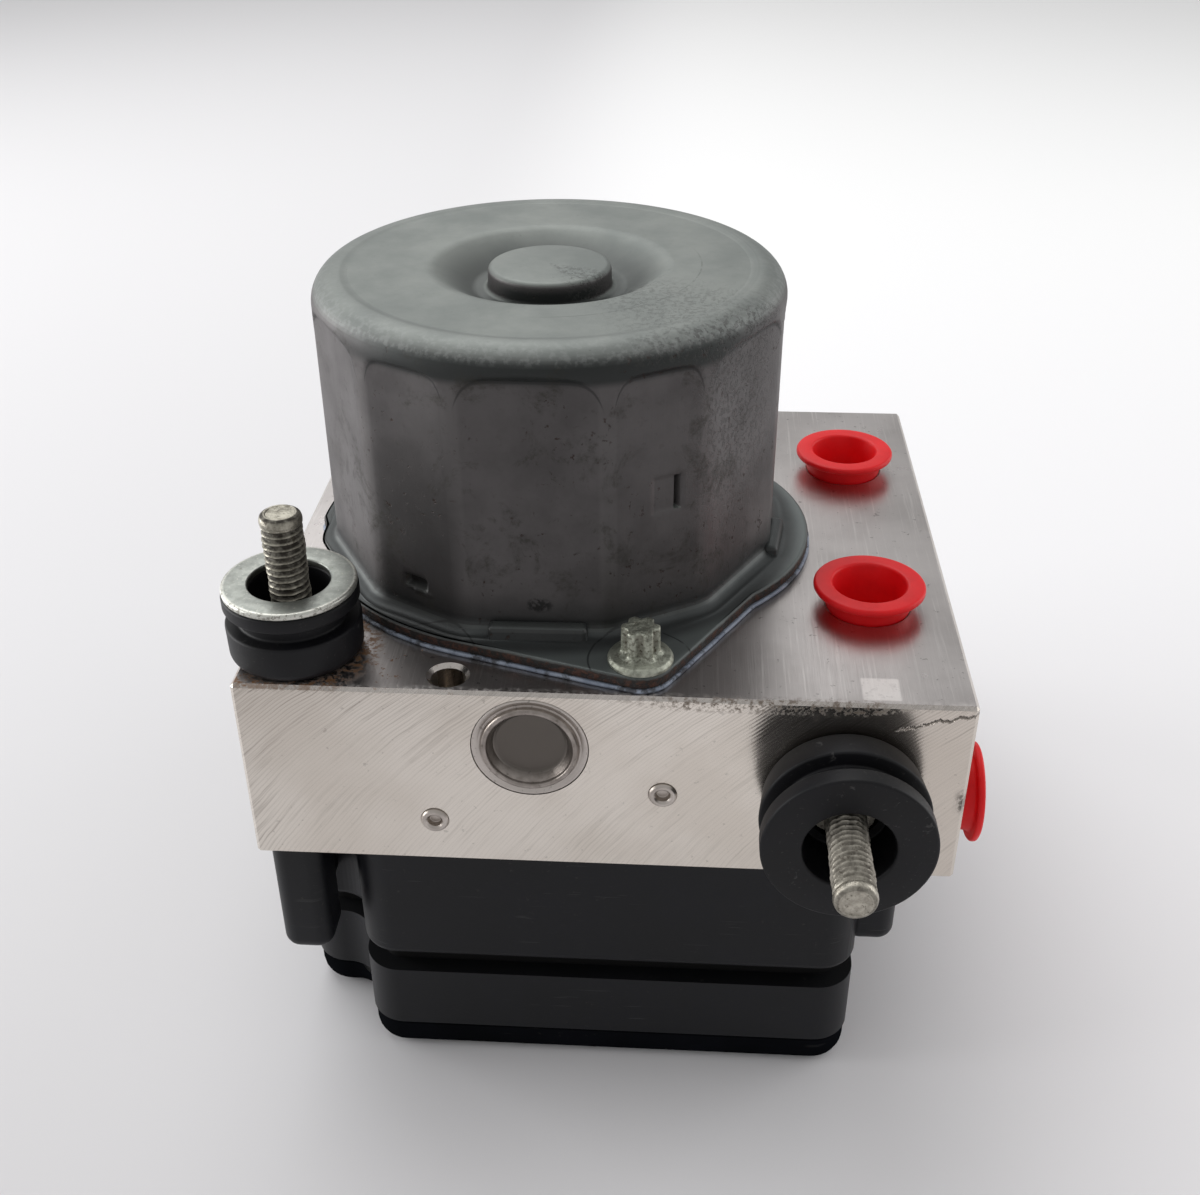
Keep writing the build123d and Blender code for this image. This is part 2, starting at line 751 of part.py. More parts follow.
# Ball bearing between the motor and the eccentric chamber
bearing_plane = Plane.XY.offset(bearing_bottom)
ball_plane = Plane.XY.offset(bearing_bottom + main_bearing_width / 2)
with BuildPart() as main_bearing_outer:
    cylinder_on(
        bearing_plane, main_bearing_radius, main_bearing_width,
        inner_radius=main_bearing_radius - main_bearing_ring,
    )
    with Locations(ball_plane):
        Torus(bearing_groove_radius, main_ball_radius + running_fit, mode=Mode.SUBTRACT)
save(main_bearing_outer, "main_bearing_outer")

with BuildPart() as main_bearing_inner:
    cylinder_on(
        bearing_plane, shaft_radius + main_bearing_ring, main_bearing_width,
        inner_radius=shaft_radius + seat_fit,
    )
    with Locations(ball_plane):
        Torus(bearing_groove_radius, main_ball_radius + running_fit, mode=Mode.SUBTRACT)
save(main_bearing_inner, "main_bearing_inner")

with BuildPart() as main_bearing_balls:
    with Locations(ball_plane):
        with PolarLocations(bearing_groove_radius, main_ball_count):
            Sphere(main_ball_radius)
save(main_bearing_balls, "main_bearing_balls")

with BuildPart() as shaft_bushes:
    cylinder_on(
        Plane.XY.offset(pilot_bottom), shaft_pilot_radius + running_fit + bush_wall, bush_height,
        inner_radius=shaft_pilot_radius + running_fit,
    )
    cylinder_on(
        Plane.XY.offset(bush_bottom), can_bush_radius, boss_top - can_wall - bush_bottom,
        inner_radius=shaft_pilot_radius + running_fit,
    )
save(shaft_bushes, "shaft_bushes")

# Needle bearing on the eccentric: its ring pushes the pistons
ring_plane = eccentric_plane.offset(pump_axis - eccentric_ring_height / 2)
with BuildPart() as eccentric_needles:
    with BuildSketch(ring_plane.offset(running_fit)) as needles:
        with PolarLocations(needle_circle, needle_count):
            Circle(needle_radius)
    extrude(needles.sketch, amount=eccentric_ring_height - 2 * running_fit)
save(eccentric_needles, "eccentric_needles")

with BuildPart() as eccentric_ring:
    cylinder_on(ring_plane, eccentric_ring_radius, eccentric_ring_height, inner_radius=ring_bore)
save(eccentric_ring, "eccentric_ring")

# One pump element faces the front and one the back
piston_tip = eccentric_ring_radius + eccentric_offset + running_fit
piston_end = piston_tip + pump_piston_length
for plane, reach, side in zip(pump_planes, pump_reaches, ("front", "back")):
    # this plane starts on the motor axis and points outwards along the pump
    pump_plane = plane_at(plane, (0, 0, pump_axis))
    with BuildPart() as pump_piston:
        turn(
            pump_plane,
            [
                (0, piston_tip), (pump_piston_radius, piston_tip),
                (pump_piston_radius, piston_end - pump_piston_nose),
                (pump_piston_radius - pump_piston_nose, piston_end), (0, piston_end),
            ],
        )
    save(pump_piston, f"pump_piston_{side}")
    spring_length = reach - pump_plug_depth - piston_end
    with BuildPart() as pump_spring:
        spring_on(
            pump_plane.offset(piston_end), pump_spring_radius, pump_spring_wire, spring_length,
            pump_spring_turns,
        )
    save(pump_spring, f"pump_spring_{side}")

with BuildPart() as pump_cylinders:
    for plane, reach in zip(pump_planes, pump_reaches):
        cylinder_on(
            plane.offset(-pump_plug_depth), pump_cylinder_radius,
            pump_cylinder_start + pump_plug_depth - reach, inner_radius=pump_piston_radius + running_fit,
        )
save(pump_cylinders, "pump_cylinders")

for plane, side in zip(pump_planes, ("front", "back")):
    with BuildPart() as pump_plug:
        turn(
            plane,
            [
                (0, -pump_plug_depth), (pump_plug_radius, -pump_plug_depth), (pump_plug_radius, 0),
                (pump_plug_radius - pump_plug_edge, pump_plug_rise),
                (pump_plug_recess_radius + pump_plug_rim_slope, pump_plug_rise),
                (pump_plug_recess_radius, pump_plug_rise - pump_plug_recess_depth),
                (0, pump_plug_rise - pump_plug_recess_depth),
            ],
        )
    save(pump_plug, f"pump_plug_{side}")

# Low-pressure accumulators, each a sprung piston under a cap
for plane, side in zip(accumulator_planes, ("front", "back")):
    with BuildPart() as accumulator_piston:
        crown = plane.offset(-accumulator_depth + seat_fit)
        cylinder_on(crown, accumulator_radius - running_fit, accumulator_piston_thickness)
        cylinder_on(
            crown.offset(accumulator_piston_thickness),
            accumulator_radius - running_fit - accumulator_piston_wall,
            accumulator_piston_wall - accumulator_piston_thickness, Mode.SUBTRACT,
        )
    save(accumulator_piston, f"accumulator_piston_{side}")
    with BuildPart() as accumulator_spring:
        spring_on(
            plane.offset(-accumulator_depth + seat_fit + accumulator_piston_wall),
            accumulator_radius - accumulator_piston_wall - 2 * accumulator_spring_wire,
            accumulator_spring_wire,
            accumulator_depth - seat_fit - accumulator_piston_wall - accumulator_cap_thickness,
            accumulator_spring_turns,
        )
    save(accumulator_spring, f"accumulator_spring_{side}")

cap_radius = accumulator_radius - seat_fit
with BuildPart() as accumulator_caps:
    for plane in accumulator_planes:
        turn(
            plane,
            [
                (0, -accumulator_cap_thickness), (cap_radius, -accumulator_cap_thickness),
                (cap_radius, -accumulator_cap_edge), (cap_radius - accumulator_cap_edge, 0),
                (accumulator_cap_dish_radius, 0),
                (accumulator_cap_dish_radius - accumulator_cap_edge, -accumulator_cap_dish_depth),
                (0, -accumulator_cap_dish_depth),
            ],
        )
save(accumulator_caps, "accumulator_caps")

# Solenoid valves: a cartridge in the block, a dome below it and a sliding plunger
plunger_radius = dome_radius - dome_wall - running_fit
plunger_bottom = dome_wall + plunger_gap - dome_height
plunger_top = plunger_bottom + plunger_length
valve_seat = valve_body_height - valve_end
for kind, x in (("inlet", inlet_x), ("outlet", outlet_x)):
    with BuildPart() as valve_bodies:
        for y in valve_ys:
            body_plane = plane_at(valve_plane, (x, y, block_bottom))
            turn(
                body_plane,
                [
                    (0, -dome_height), (dome_radius - dome_edge, -dome_height),
                    (dome_radius, dome_edge - dome_height), (dome_radius, 0), (valve_body_radius, 0),
                    (valve_body_radius, valve_shoulder_height),
                    (valve_body_radius - valve_shoulder, valve_shoulder_height),
                    (valve_body_radius - valve_shoulder, valve_body_height), (0, valve_body_height),
                ],
            )
            turn(
                body_plane,
                [
                    (0, dome_wall - dome_height), (dome_radius - dome_wall, dome_wall - dome_height),
                    (dome_radius - dome_wall, plunger_top + plunger_gap),
                    (plunger_pin_radius + loose_fit, plunger_top + plunger_gap),
                    (plunger_pin_radius + loose_fit, valve_seat), (0, valve_seat),
                ],
                Mode.SUBTRACT,
            )
    save(valve_bodies, f"{kind}_valve_bodies")
    for number, y in enumerate(valve_ys, 1):
        with BuildPart() as valve_plunger:
            turn(
                plane_at(valve_plane, (x, y, block_bottom)),
                [
                    (0, plunger_bottom), (plunger_radius, plunger_bottom), (plunger_radius, plunger_top),
                    (plunger_pin_radius, plunger_top), (plunger_pin_radius, valve_seat - plunger_gap),
                    (0, valve_seat - plunger_gap),
                ],
            )
        save(valve_plunger, f"{kind}_plunger_{number}")

with BuildPart() as valve_coils:
    coil_top = block_bottom - unit_wall - loose_fit
    for x in (inlet_x, outlet_x):
        for y in valve_ys:
            cylinder_on(
                plane_at(valve_plane, (x, y, coil_top)), coil_radius, -coil_height,
                inner_radius=dome_radius + loose_fit,
            )
save(valve_coils, "valve_coils")

expander_recess = expander_rise - expander_recess_depth
with BuildPart() as expander_plugs:
    for plane in expander_planes:
        turn(
            plane,
            [
                (0, -expander_depth), (expander_radius, -expander_depth), (expander_radius, expander_rise),
                (expander_recess_radius, expander_rise), (expander_recess_radius, expander_recess),
                (0, expander_recess),
            ],
        )
save(expander_plugs, "expander_plugs")

# Port plugs: thin cups with a wide flange to pull them out by
plug_flange_top = plug_flange_gap + plug_flange_thickness
for name, plane, bore, mouth, flange in ports:
    with BuildPart() as port_plug:
        turn(
            plane,
            [
                (0, -plug_depth), (bore - plug_taper, -plug_depth), (bore - loose_fit, -port_mouth_depth),
                (mouth - loose_fit, 0), (mouth + plug_flare, plug_flange_gap), (flange, plug_flange_gap),
                (flange, plug_flange_top), (bore, plug_flange_top), (bore - loose_fit - plug_wall / 2, 0),
                (bore - loose_fit - plug_wall, -port_mouth_depth),
                (bore - plug_taper - plug_wall, plug_wall - plug_depth), (0, plug_wall - plug_depth),
            ],
        )
    save(port_plug, name)

# Studs and rubber mounts
for plane, side in ((top_stud_plane, "top"), (front_stud_plane, "front")):
    with BuildPart() as mount_stud:
        turn(
            plane,
            [
                (0, -stud_depth), (stud_radius - stud_tip_chamfer, -stud_depth),
                (stud_radius, stud_tip_chamfer - stud_depth), (stud_radius, 0), (stud_collar_radius, 0),
                (stud_collar_radius, stud_collar_height), (stud_radius, stud_collar_height),
                (stud_radius, stud_length - stud_tip_chamfer),
                (stud_radius - stud_tip_chamfer, stud_length),
                (0, stud_length),
            ],
        )
    save(mount_stud, f"mount_stud_{side}")

for plane, side, radius, bore, height in (
    (top_stud_plane, "top", top_rubber_radius, top_rubber_bore, top_rubber_height),
    (front_stud_plane, "front", front_rubber_radius, front_rubber_bore, front_rubber_height),
):
    groove_end = rubber_body_height + rubber_groove_height
    collar_bore = stud_collar_radius + running_fit
    with BuildPart() as mount_rubber:
        turn(
            plane,
            [
                (collar_bore, 0), (radius - rubber_foot_width, 0), (radius, rubber_foot_height),
                (radius, rubber_body_height), (radius - rubber_groove_depth, rubber_body_height),
                (radius - rubber_groove_depth, groove_end), (radius, groove_end), (radius, height),
                (bore, height), (bore, stud_collar_height), (collar_bore, stud_collar_height),
            ],
        )
    save(mount_rubber, f"mount_rubber_{side}")

with BuildPart() as mount_washer:
    cylinder_on(
        top_stud_plane.offset(top_rubber_height), top_washer_radius, top_washer_thickness,
        inner_radius=top_rubber_bore,
    )
save(mount_washer, "mount_washer")

# Brush gear on the block's top face
lead_x, lead_y = lead_position
brush_bottom = plate_top + holder_leg_height
holder_start = commutator_radius + holder_gap
with BuildPart() as brush_plate:
    plate_plane = Plane.XY.offset(block_top)
    cylinder_on(
        plate_plane, brush_plate_radius, brush_plate_thickness, inner_radius=main_bearing_radius + loose_fit
    )
    cylinder_on(
        Plane((lead_x, lead_y, block_top)), lead_radius + seat_fit, brush_plate_thickness, Mode.SUBTRACT
    )
    # a box-shaped holder for each brush, standing on the plate and closed at its outer end
    for side in (-1, 1):
        with BuildSketch(Plane.XY.offset(plate_top)) as holder:
            with Locations((side * (holder_start + holder_length / 2), 0)):
                Rectangle(holder_length, brush_width + 2 * holder_wall + 2 * running_fit)
        extrude(holder.sketch, amount=holder_leg_height + brush_height + holder_wall + running_fit)
        with BuildSketch(Plane.XY.offset(brush_bottom - running_fit)) as channel:
            with Locations((side * (holder_start + (holder_length - holder_wall) / 2), 0)):
                Rectangle(holder_length - holder_wall, brush_width + 2 * running_fit)
        extrude(channel.sketch, amount=brush_height + 2 * running_fit, mode=Mode.SUBTRACT)
save(brush_plate, "brush_plate")

brush_face = commutator_radius + running_fit
with BuildPart() as carbon_brushes:
    with BuildSketch(Plane.XY.offset(brush_bottom)) as brushes:
        for side in (-1, 1):
            with Locations((side * (brush_face + brush_length / 2), 0)):
                Rectangle(brush_length, brush_width)
    extrude(brushes.sketch, amount=brush_height)
save(carbon_brushes, "carbon_brushes")

with BuildPart() as brush_springs:
    spring_start = brush_face + brush_length
    spring_room = holder_start + holder_length - holder_wall - spring_start
    for side in (-1, 1):
        spring_plane = Plane(
            (side * spring_start, 0, brush_bottom + brush_height / 2), x_dir=(0, 1, 0), z_dir=(side, 0, 0)
        )
        spring_on(
            spring_plane, brush_height / 2 - 2 * brush_spring_wire, brush_spring_wire, spring_room,
            brush_spring_turns,
        )
save(brush_springs, "brush_springs")

board_bottom = lid_height + board_height
board_top = board_bottom + board_thickness
with BuildPart() as motor_lead:
    cylinder_on(Plane((lead_x, lead_y, board_top)), lead_radius, plate_top + lead_rise - board_top)
save(motor_lead, "motor_lead")

socket_middle = (box_back + unit_wall + connector_back - unit_wall) / 2
signal_start = box_right - unit_wall - pin_pitch - (pin_columns - 1) * pin_pitch
connector_pin_places = [
    (signal_start + column * pin_pitch, socket_middle + (row - (pin_rows - 1) / 2) * pin_row_pitch,
     pin_size, pin_size)
    for row in range(pin_rows) for column in range(pin_columns)
]
connector_pin_places += [
    (signal_start - step * (power_pin_width + pin_pitch / 2), socket_middle, power_pin_width,
     power_pin_thickness)
    for step in (1, 2)
]
board_post_xs = (box_left + board_post_from_side, box_right - unit_wall - groove_inset - board_post_radius)
board_posts = [
    (x, y) for x in board_post_xs
    for y in (box_front + board_post_from_end, box_back - board_post_from_end)
]


def unit_section(plane, inset, with_connector=True):
    """The control unit's outline seen from above, drawn in by inset."""
    with BuildSketch(plane) as section:
        rectangle_between(box_left, box_right, box_front, box_back)
        rectangle_between(wing_left, box_left + wing_overlap, wing_front, wing_back)
        if with_connector:
            rectangle_between(connector_left, box_right, box_back - wing_overlap, connector_back)
        fillet(section.vertices(), unit_corner_radius)
        if inset:
            offset(amount=-inset, kind=Kind.INTERSECTION, mode=Mode.REPLACE)
    return section.sketch


with BuildPart() as unit_housing:
    # pillars with rounded feet, and the webs that tie the left ones to the wing
    for x, y in pillars:
        with BuildSketch(Plane.XY.offset(pillar_bottom)) as pillar:
            with Locations((x, y)):
                RectangleRounded(pillar_width, pillar_length, pillar_corner_radius)
        extrude(pillar.sketch, amount=pillar_height)
    fillet(unit_housing.edges().group_by(Axis.Z)[0], pillar_edge_radius)
    unit_plane = Plane.XY.offset(unit_bottom)
    extrude(unit_section(unit_plane, 0), amount=skirt_height)
    extrude(unit_section(Plane.XY.offset(groove_bottom), groove_inset), amount=groove_height)
    extrude(unit_section(Plane.XY.offset(groove_top), 0, with_connector=False), amount=wall_height)
    with BuildSketch(Plane.XY.offset(groove_top)) as connector_body:
        rectangle_between(connector_left, box_right, box_back, connector_back)
        outer_corners = connector_body.vertices().group_by(Axis.Y)[-1]
        fillet(outer_corners, unit_corner_radius)
    extrude(connector_body.sketch, amount=socket_top - groove_top)
    for (x, y), wing_edge, inward in ((front_left_pillar, wing_front, 1), (back_left_pillar, wing_back, -1)):
        near, far = sorted((y, wing_edge + inward * unit_corner_radius / 2))
        with BuildSketch(Plane.XY.offset(pillar_bottom + 2 * pillar_edge_radius)) as web:
            rectangle_between(x - web_width / 2, x + web_width / 2, near, far)
        extrude(web.sketch, amount=pillar_height - 2 * pillar_edge_radius)
    # room for the coils and the board, open at the bottom, and the socket, open at the top
    extrude(
        unit_section(unit_plane, unit_wall + groove_inset, with_connector=False),
        amount=block_bottom - unit_wall - unit_bottom, mode=Mode.SUBTRACT,
    )
    with BuildSketch(unit_plane) as board_room:
        rectangle_between(
            connector_left + unit_wall + groove_inset, box_right - unit_wall - groove_inset,
            box_back - wing_overlap, connector_back - unit_wall - groove_inset,
        )
    extrude(board_room.sketch, amount=socket_floor - unit_wall - unit_bottom, mode=Mode.SUBTRACT)
    with BuildSketch(Plane.XY.offset(socket_top)) as socket:
        rectangle_between(
            connector_left + unit_wall, box_right - unit_wall,
            box_back + unit_wall, connector_back - unit_wall,
        )
        fillet(socket.vertices(), unit_corner_radius - unit_wall)
    extrude(socket.sketch, amount=-socket_depth, mode=Mode.SUBTRACT)
    # holes for the valve domes, the motor lead and the screws
    for x in (inlet_x, outlet_x):
        for y in valve_ys:
            cylinder_on(Plane((x, y, block_bottom)), dome_radius + loose_fit, -unit_wall, Mode.SUBTRACT)
    cylinder_on(Plane((lead_x, lead_y, block_bottom)), lead_radius + loose_fit, -unit_wall, Mode.SUBTRACT)
    for x, y in screw_pillars:
        foot = Plane((x, y, pillar_bottom))
        cylinder_on(foot, screw_hole_radius, pillar_height, Mode.SUBTRACT)
        cylinder_on(
            foot, unit_screw_head_radius + running_fit, unit_screw_head_height + unit_screw_recess,
            Mode.SUBTRACT,
        )
    # seal groove under the block
    seal_plane = Plane.XY.offset(block_bottom)
    extrude(
        unit_section(seal_plane, unit_wall, with_connector=False), amount=-seal_thickness,
        mode=Mode.SUBTRACT,
    )
    # holes for the connector pins and posts that the board is staked to
    for x, y, width, thickness in connector_pin_places:
        with BuildSketch(Plane.XY.offset(socket_floor)) as pin_hole:
            with Locations((x, y)):
                Rectangle(width + 2 * seat_fit, thickness + 2 * seat_fit)
        extrude(pin_hole.sketch, amount=-unit_wall, mode=Mode.SUBTRACT)
    for x, y in board_posts:
        cylinder_on(Plane((x, y, board_top)), board_post_radius, block_bottom - unit_wall - board_top)
save(unit_housing, "unit_housing")

with BuildPart() as unit_seal:
    with BuildSketch(Plane.XY.offset(block_bottom - seal_thickness)) as ring:
        add(unit_section(Plane.XY, unit_wall + seat_fit, with_connector=False))
        add(unit_section(Plane.XY, unit_wall + seal_width, with_connector=False), mode=Mode.SUBTRACT)
    extrude(ring.sketch, amount=seal_thickness)
save(unit_seal, "unit_seal")

with BuildPart() as unit_lid:
    extrude(unit_section(Plane.XY, 0), amount=lid_height)
    fillet(unit_lid.edges().group_by(Axis.Z)[0], lid_edge_radius)
    extrude(
        unit_section(Plane.XY.offset(lid_wall), unit_wall + groove_inset), amount=lid_height - lid_wall,
        mode=Mode.SUBTRACT,
    )
save(unit_lid, "unit_lid")

with BuildPart() as circuit_board:
    board_inset = unit_wall + groove_inset + board_margin
    with BuildSketch(Plane.XY.offset(board_bottom)):
        add(unit_section(Plane.XY, board_inset, with_connector=False))
        rectangle_between(
            connector_left + board_inset, box_right - board_inset, box_back - wing_overlap - board_margin,
            connector_back - board_inset,
        )
    extrude(amount=board_thickness)
save(circuit_board, "circuit_board")

with BuildPart() as connector_pins:
    for x, y, width, thickness in connector_pin_places:
        with BuildSketch(Plane.XY.offset(board_top)) as pin:
            with Locations((x, y)):
                Rectangle(width, thickness)
        extrude(pin.sketch, amount=socket_floor + pin_height - board_top)
save(connector_pins, "connector_pins")

unit_screw_length = pillar_height - unit_screw_recess + unit_screw_depth - end_gap
with BuildPart() as unit_screws:
    for x, y in screw_pillars:
        turn(
            Plane((x, y, pillar_bottom + unit_screw_recess)),
            [
                (0, 0), (unit_screw_head_radius, 0), (unit_screw_head_radius, unit_screw_head_height),
                (screw_radius, unit_screw_head_height), (screw_radius, unit_screw_length),
                (0, unit_screw_length),
            ],
        )
save(unit_screws, "unit_screws")
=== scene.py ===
import bpy
import bmesh
import json
import math
import numpy as np
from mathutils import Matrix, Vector


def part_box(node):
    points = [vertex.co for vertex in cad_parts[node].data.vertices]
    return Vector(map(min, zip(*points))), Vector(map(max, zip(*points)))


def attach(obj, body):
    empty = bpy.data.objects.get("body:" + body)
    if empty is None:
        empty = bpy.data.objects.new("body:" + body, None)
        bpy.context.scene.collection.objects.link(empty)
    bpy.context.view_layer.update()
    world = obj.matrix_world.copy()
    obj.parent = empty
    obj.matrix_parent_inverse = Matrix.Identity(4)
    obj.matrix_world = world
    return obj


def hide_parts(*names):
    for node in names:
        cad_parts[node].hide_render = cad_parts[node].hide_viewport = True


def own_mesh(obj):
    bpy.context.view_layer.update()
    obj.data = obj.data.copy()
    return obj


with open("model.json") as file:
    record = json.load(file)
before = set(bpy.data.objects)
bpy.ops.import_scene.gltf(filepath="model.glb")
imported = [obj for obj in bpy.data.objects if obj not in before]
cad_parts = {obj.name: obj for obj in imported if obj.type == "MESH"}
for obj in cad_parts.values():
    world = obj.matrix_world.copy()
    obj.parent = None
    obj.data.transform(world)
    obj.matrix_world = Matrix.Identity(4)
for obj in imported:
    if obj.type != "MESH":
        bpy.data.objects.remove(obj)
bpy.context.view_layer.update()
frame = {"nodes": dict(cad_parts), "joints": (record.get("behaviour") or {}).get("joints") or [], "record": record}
mm = 0.001
slotOf = {part["node"]: part["material_slot"] for part in frame["record"]["subparts"]}
print("frame loaded")

# heights above the floor and sides of the block, in millimetres like every size below
level = {"blockTop": 76.5, "flangeBottom": 77.1, "flangeTop": 78.9, "canTop": 122.5, "pumpAxis": 67.1}
block = {"right": 62.0, "front": -46.0, "back": 50.5}

# motor can: a deep-drawn shell whose flats are pressed into a cylinder
can = {
    "round": 35.4, "wide": 34.1, "narrow": 34.8, "turn": 270.0, "step": 60.0, "soft": 0.08,
    "wideHalf": 15.6, "narrowHalf": 10.6, "panelTop": 117.9, "rampSlope": 0.95, "cornerDrop": 2.6,
    "shoulder": 3.9, "baseFillet": 2.0, "baseTop": 81.2, "flangeRadius": 38.5,
    "bulgeCentre": 11.2, "bulgeRadius": 30.0,
    "lobeAngles": (291.0, 111.0), "lobeCircle": 43.0, "lobeRadius": 4.8, "flatAngle": 200.0, "flat": 36.4,
}
# where each mounting stud stands: its origin, a direction across it and its axis
topStud = ((-34.4, -36.4, level["blockTop"]), (1, 0, 0), (0, 0, 1))
frontStud = ((44.5, block["front"], 61.0), (1, 0, 0), (0, -1, 0))


def roundOff(points, radii, steps, closed=True):
    # each corner of the outline becomes a circle's arc, written as a rational curve
    # between its two tangent points; a closed outline rounds every corner
    corner = np.asarray(points, float)
    radius = np.broadcast_to(np.asarray(radii, float), len(corner))
    toLast = np.roll(corner, 1, axis=0) - corner
    toNext = np.roll(corner, -1, axis=0) - corner
    lastLength = np.linalg.norm(toLast, axis=1)
    nextLength = np.linalg.norm(toNext, axis=1)
    toLast /= lastLength[:, None]
    toNext /= nextLength[:, None]
    half = np.arccos(np.clip((toLast * toNext).sum(axis=1), -1, 1)) / 2
    room = 0.49 * np.minimum(lastLength, nextLength)
    reach = np.minimum(radius / np.tan(np.maximum(half, 0.01)), room)
    if not closed:
        reach[[0, -1]] = 0
    t = np.linspace(0, 1, steps + 1)[None, :, None]
    weight = np.sin(half)[:, None, None]
    start = (corner + toLast * reach[:, None])[:, None]
    end = (corner + toNext * reach[:, None])[:, None]
    over = (1 - t) ** 2 * start + 2 * weight * t * (1 - t) * corner[:, None] + t ** 2 * end
    under = (1 - t) ** 2 + 2 * weight * t * (1 - t) + t ** 2
    return (over / under).reshape(-1, 2)


def insetOutline(corners, radius, inset, steps):
    # every side of the outline moves inwards by inset, and each corner's arc follows:
    # an outer corner's radius shrinks and an inner corner's grows
    corner = np.asarray(corners, float)
    side = np.roll(corner, -1, axis=0) - corner
    normal = np.stack([-side[:, 1], side[:, 0]], axis=1) / np.linalg.norm(side, axis=1)[:, None]
    before = np.roll(normal, 1, axis=0)
    move = (before + normal) / (1 + (before * normal).sum(axis=1))[:, None]
    lastSide = np.roll(side, 1, axis=0)
    turn = np.sign(lastSide[:, 0] * side[:, 1] - lastSide[:, 1] * side[:, 0])
    radius = np.maximum(radius - inset * turn, 0.3)
    return roundOff(corner + inset * move, radius, steps)


def walls(corners, radius, profile, steps):
    # an upright wall: one ring of the outline for each (inset, height) of the profile
    rows = []
    for inset, height in profile:
        ring = insetOutline(corners, radius, inset, steps)
        rows.append(np.column_stack([ring, np.full(len(ring), height)]))
    return np.stack(rows)


def grid(points, loop=False, caps=()):
    return {"points": points, "loop": loop, "caps": caps}


def turned(place, profile, steps, wobble=None, loop=False):
    # an outline of (radius, height) carried round an axis through the place's origin
    origin, across, axis = (np.asarray(v, float) for v in place)
    other = np.cross(axis, across)
    angle = np.linspace(0, 2 * np.pi, steps, endpoint=False)
    ring = np.cos(angle)[:, None] * across + np.sin(angle)[:, None] * other
    radius, height = (np.repeat(profile[:, i:i + 1], steps, axis=1) for i in (0, 1))
    if wobble is not None:
        radius, height = wobble(radius, height, angle[None])
    return grid(origin + radius[..., None] * ring + height[..., None] * axis, loop)


def makePiece(name, node, *grids, look=None, body="root", sharp=38):
    # every grid of points becomes quads, rows along its first axis, and its last column
    # joins the first; loop joins the last row to the first, caps close single rows
    points, faces, start = [], [], 0
    for part in grids:
        rows, columns = part["points"].shape[:2]
        index = np.arange(rows * columns).reshape(rows, columns) + start
        start += rows * columns
        points.append(part["points"].reshape(-1, 3))
        faces += [index[row].tolist() for row in part["caps"]]
        if part["loop"]:
            index = np.vstack([index, index[:1]])
        index = np.hstack([index, index[:, :1]])
        quads = np.stack([index[:-1, :-1], index[1:, :-1], index[1:, 1:], index[:-1, 1:]], axis=-1)
        faces += quads.reshape(-1, 4).tolist()
    mesh = bpy.data.meshes.new(name)
    mesh.from_pydata((np.concatenate(points) * mm).tolist(), [], faces)
    return finishPiece(name, node, mesh, look, body, sharp)


def finishPiece(name, node, mesh, look=None, body="root", sharp=38):
    # a piece has the slot of the node it replaces
    slot = slotOf[node]
    samePlace = 2e-7
    work = bmesh.new()
    work.from_mesh(mesh)
    bmesh.ops.remove_doubles(work, verts=work.verts, dist=samePlace)
    bmesh.ops.dissolve_degenerate(work, edges=work.edges, dist=samePlace)
    bmesh.ops.recalc_face_normals(work, faces=work.faces)
    work.to_mesh(mesh)
    work.free()
    mesh.polygons.foreach_set("use_smooth", np.ones(len(mesh.polygons), bool))
    mesh.set_sharp_from_angle(angle=math.radians(sharp))
    piece = bpy.data.objects.new(name, mesh)
    bpy.context.collection.objects.link(piece)
    mesh.materials.append(look or finish[slot])
    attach(piece, body)
    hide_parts(node)
    return piece


class Value:
    # one output socket, used in sums like a number
    def __init__(self, finish, socket):
        self.finish = finish
        self.socket = socket

    def math(self, operation, *others, clamp=False):
        inputs = dict(enumerate((self,) + others))
        return self.finish.node("ShaderNodeMath", {"operation": operation, "use_clamp": clamp}, inputs)

    def __add__(self, other):
        return self.math("ADD", other)

    __radd__ = __add__

    def __mul__(self, other):
        return self.math("MULTIPLY", other)

    __rmul__ = __mul__

    def __sub__(self, other):
        return self.math("SUBTRACT", other)

    def __rsub__(self, other):
        return (self * -1).math("ADD", other)

    def __pow__(self, other):
        return self.math("POWER", other)

    def clamp(self):
        return self.math("ADD", 0.0, clamp=True)

    def abs(self):
        return self.math("ABSOLUTE")


def distance(across, along):
    return (across * across + along * along).math("SQRT")


def tone(hexText):
    # a display colour as the linear value that shaders use
    part = [int(hexText[i:i + 2], 16) / 255 for i in (0, 2, 4)]
    return tuple(c / 12.92 if c <= 0.04045 else ((c + 0.055) / 1.055) ** 2.4 for c in part) + (1.0,)


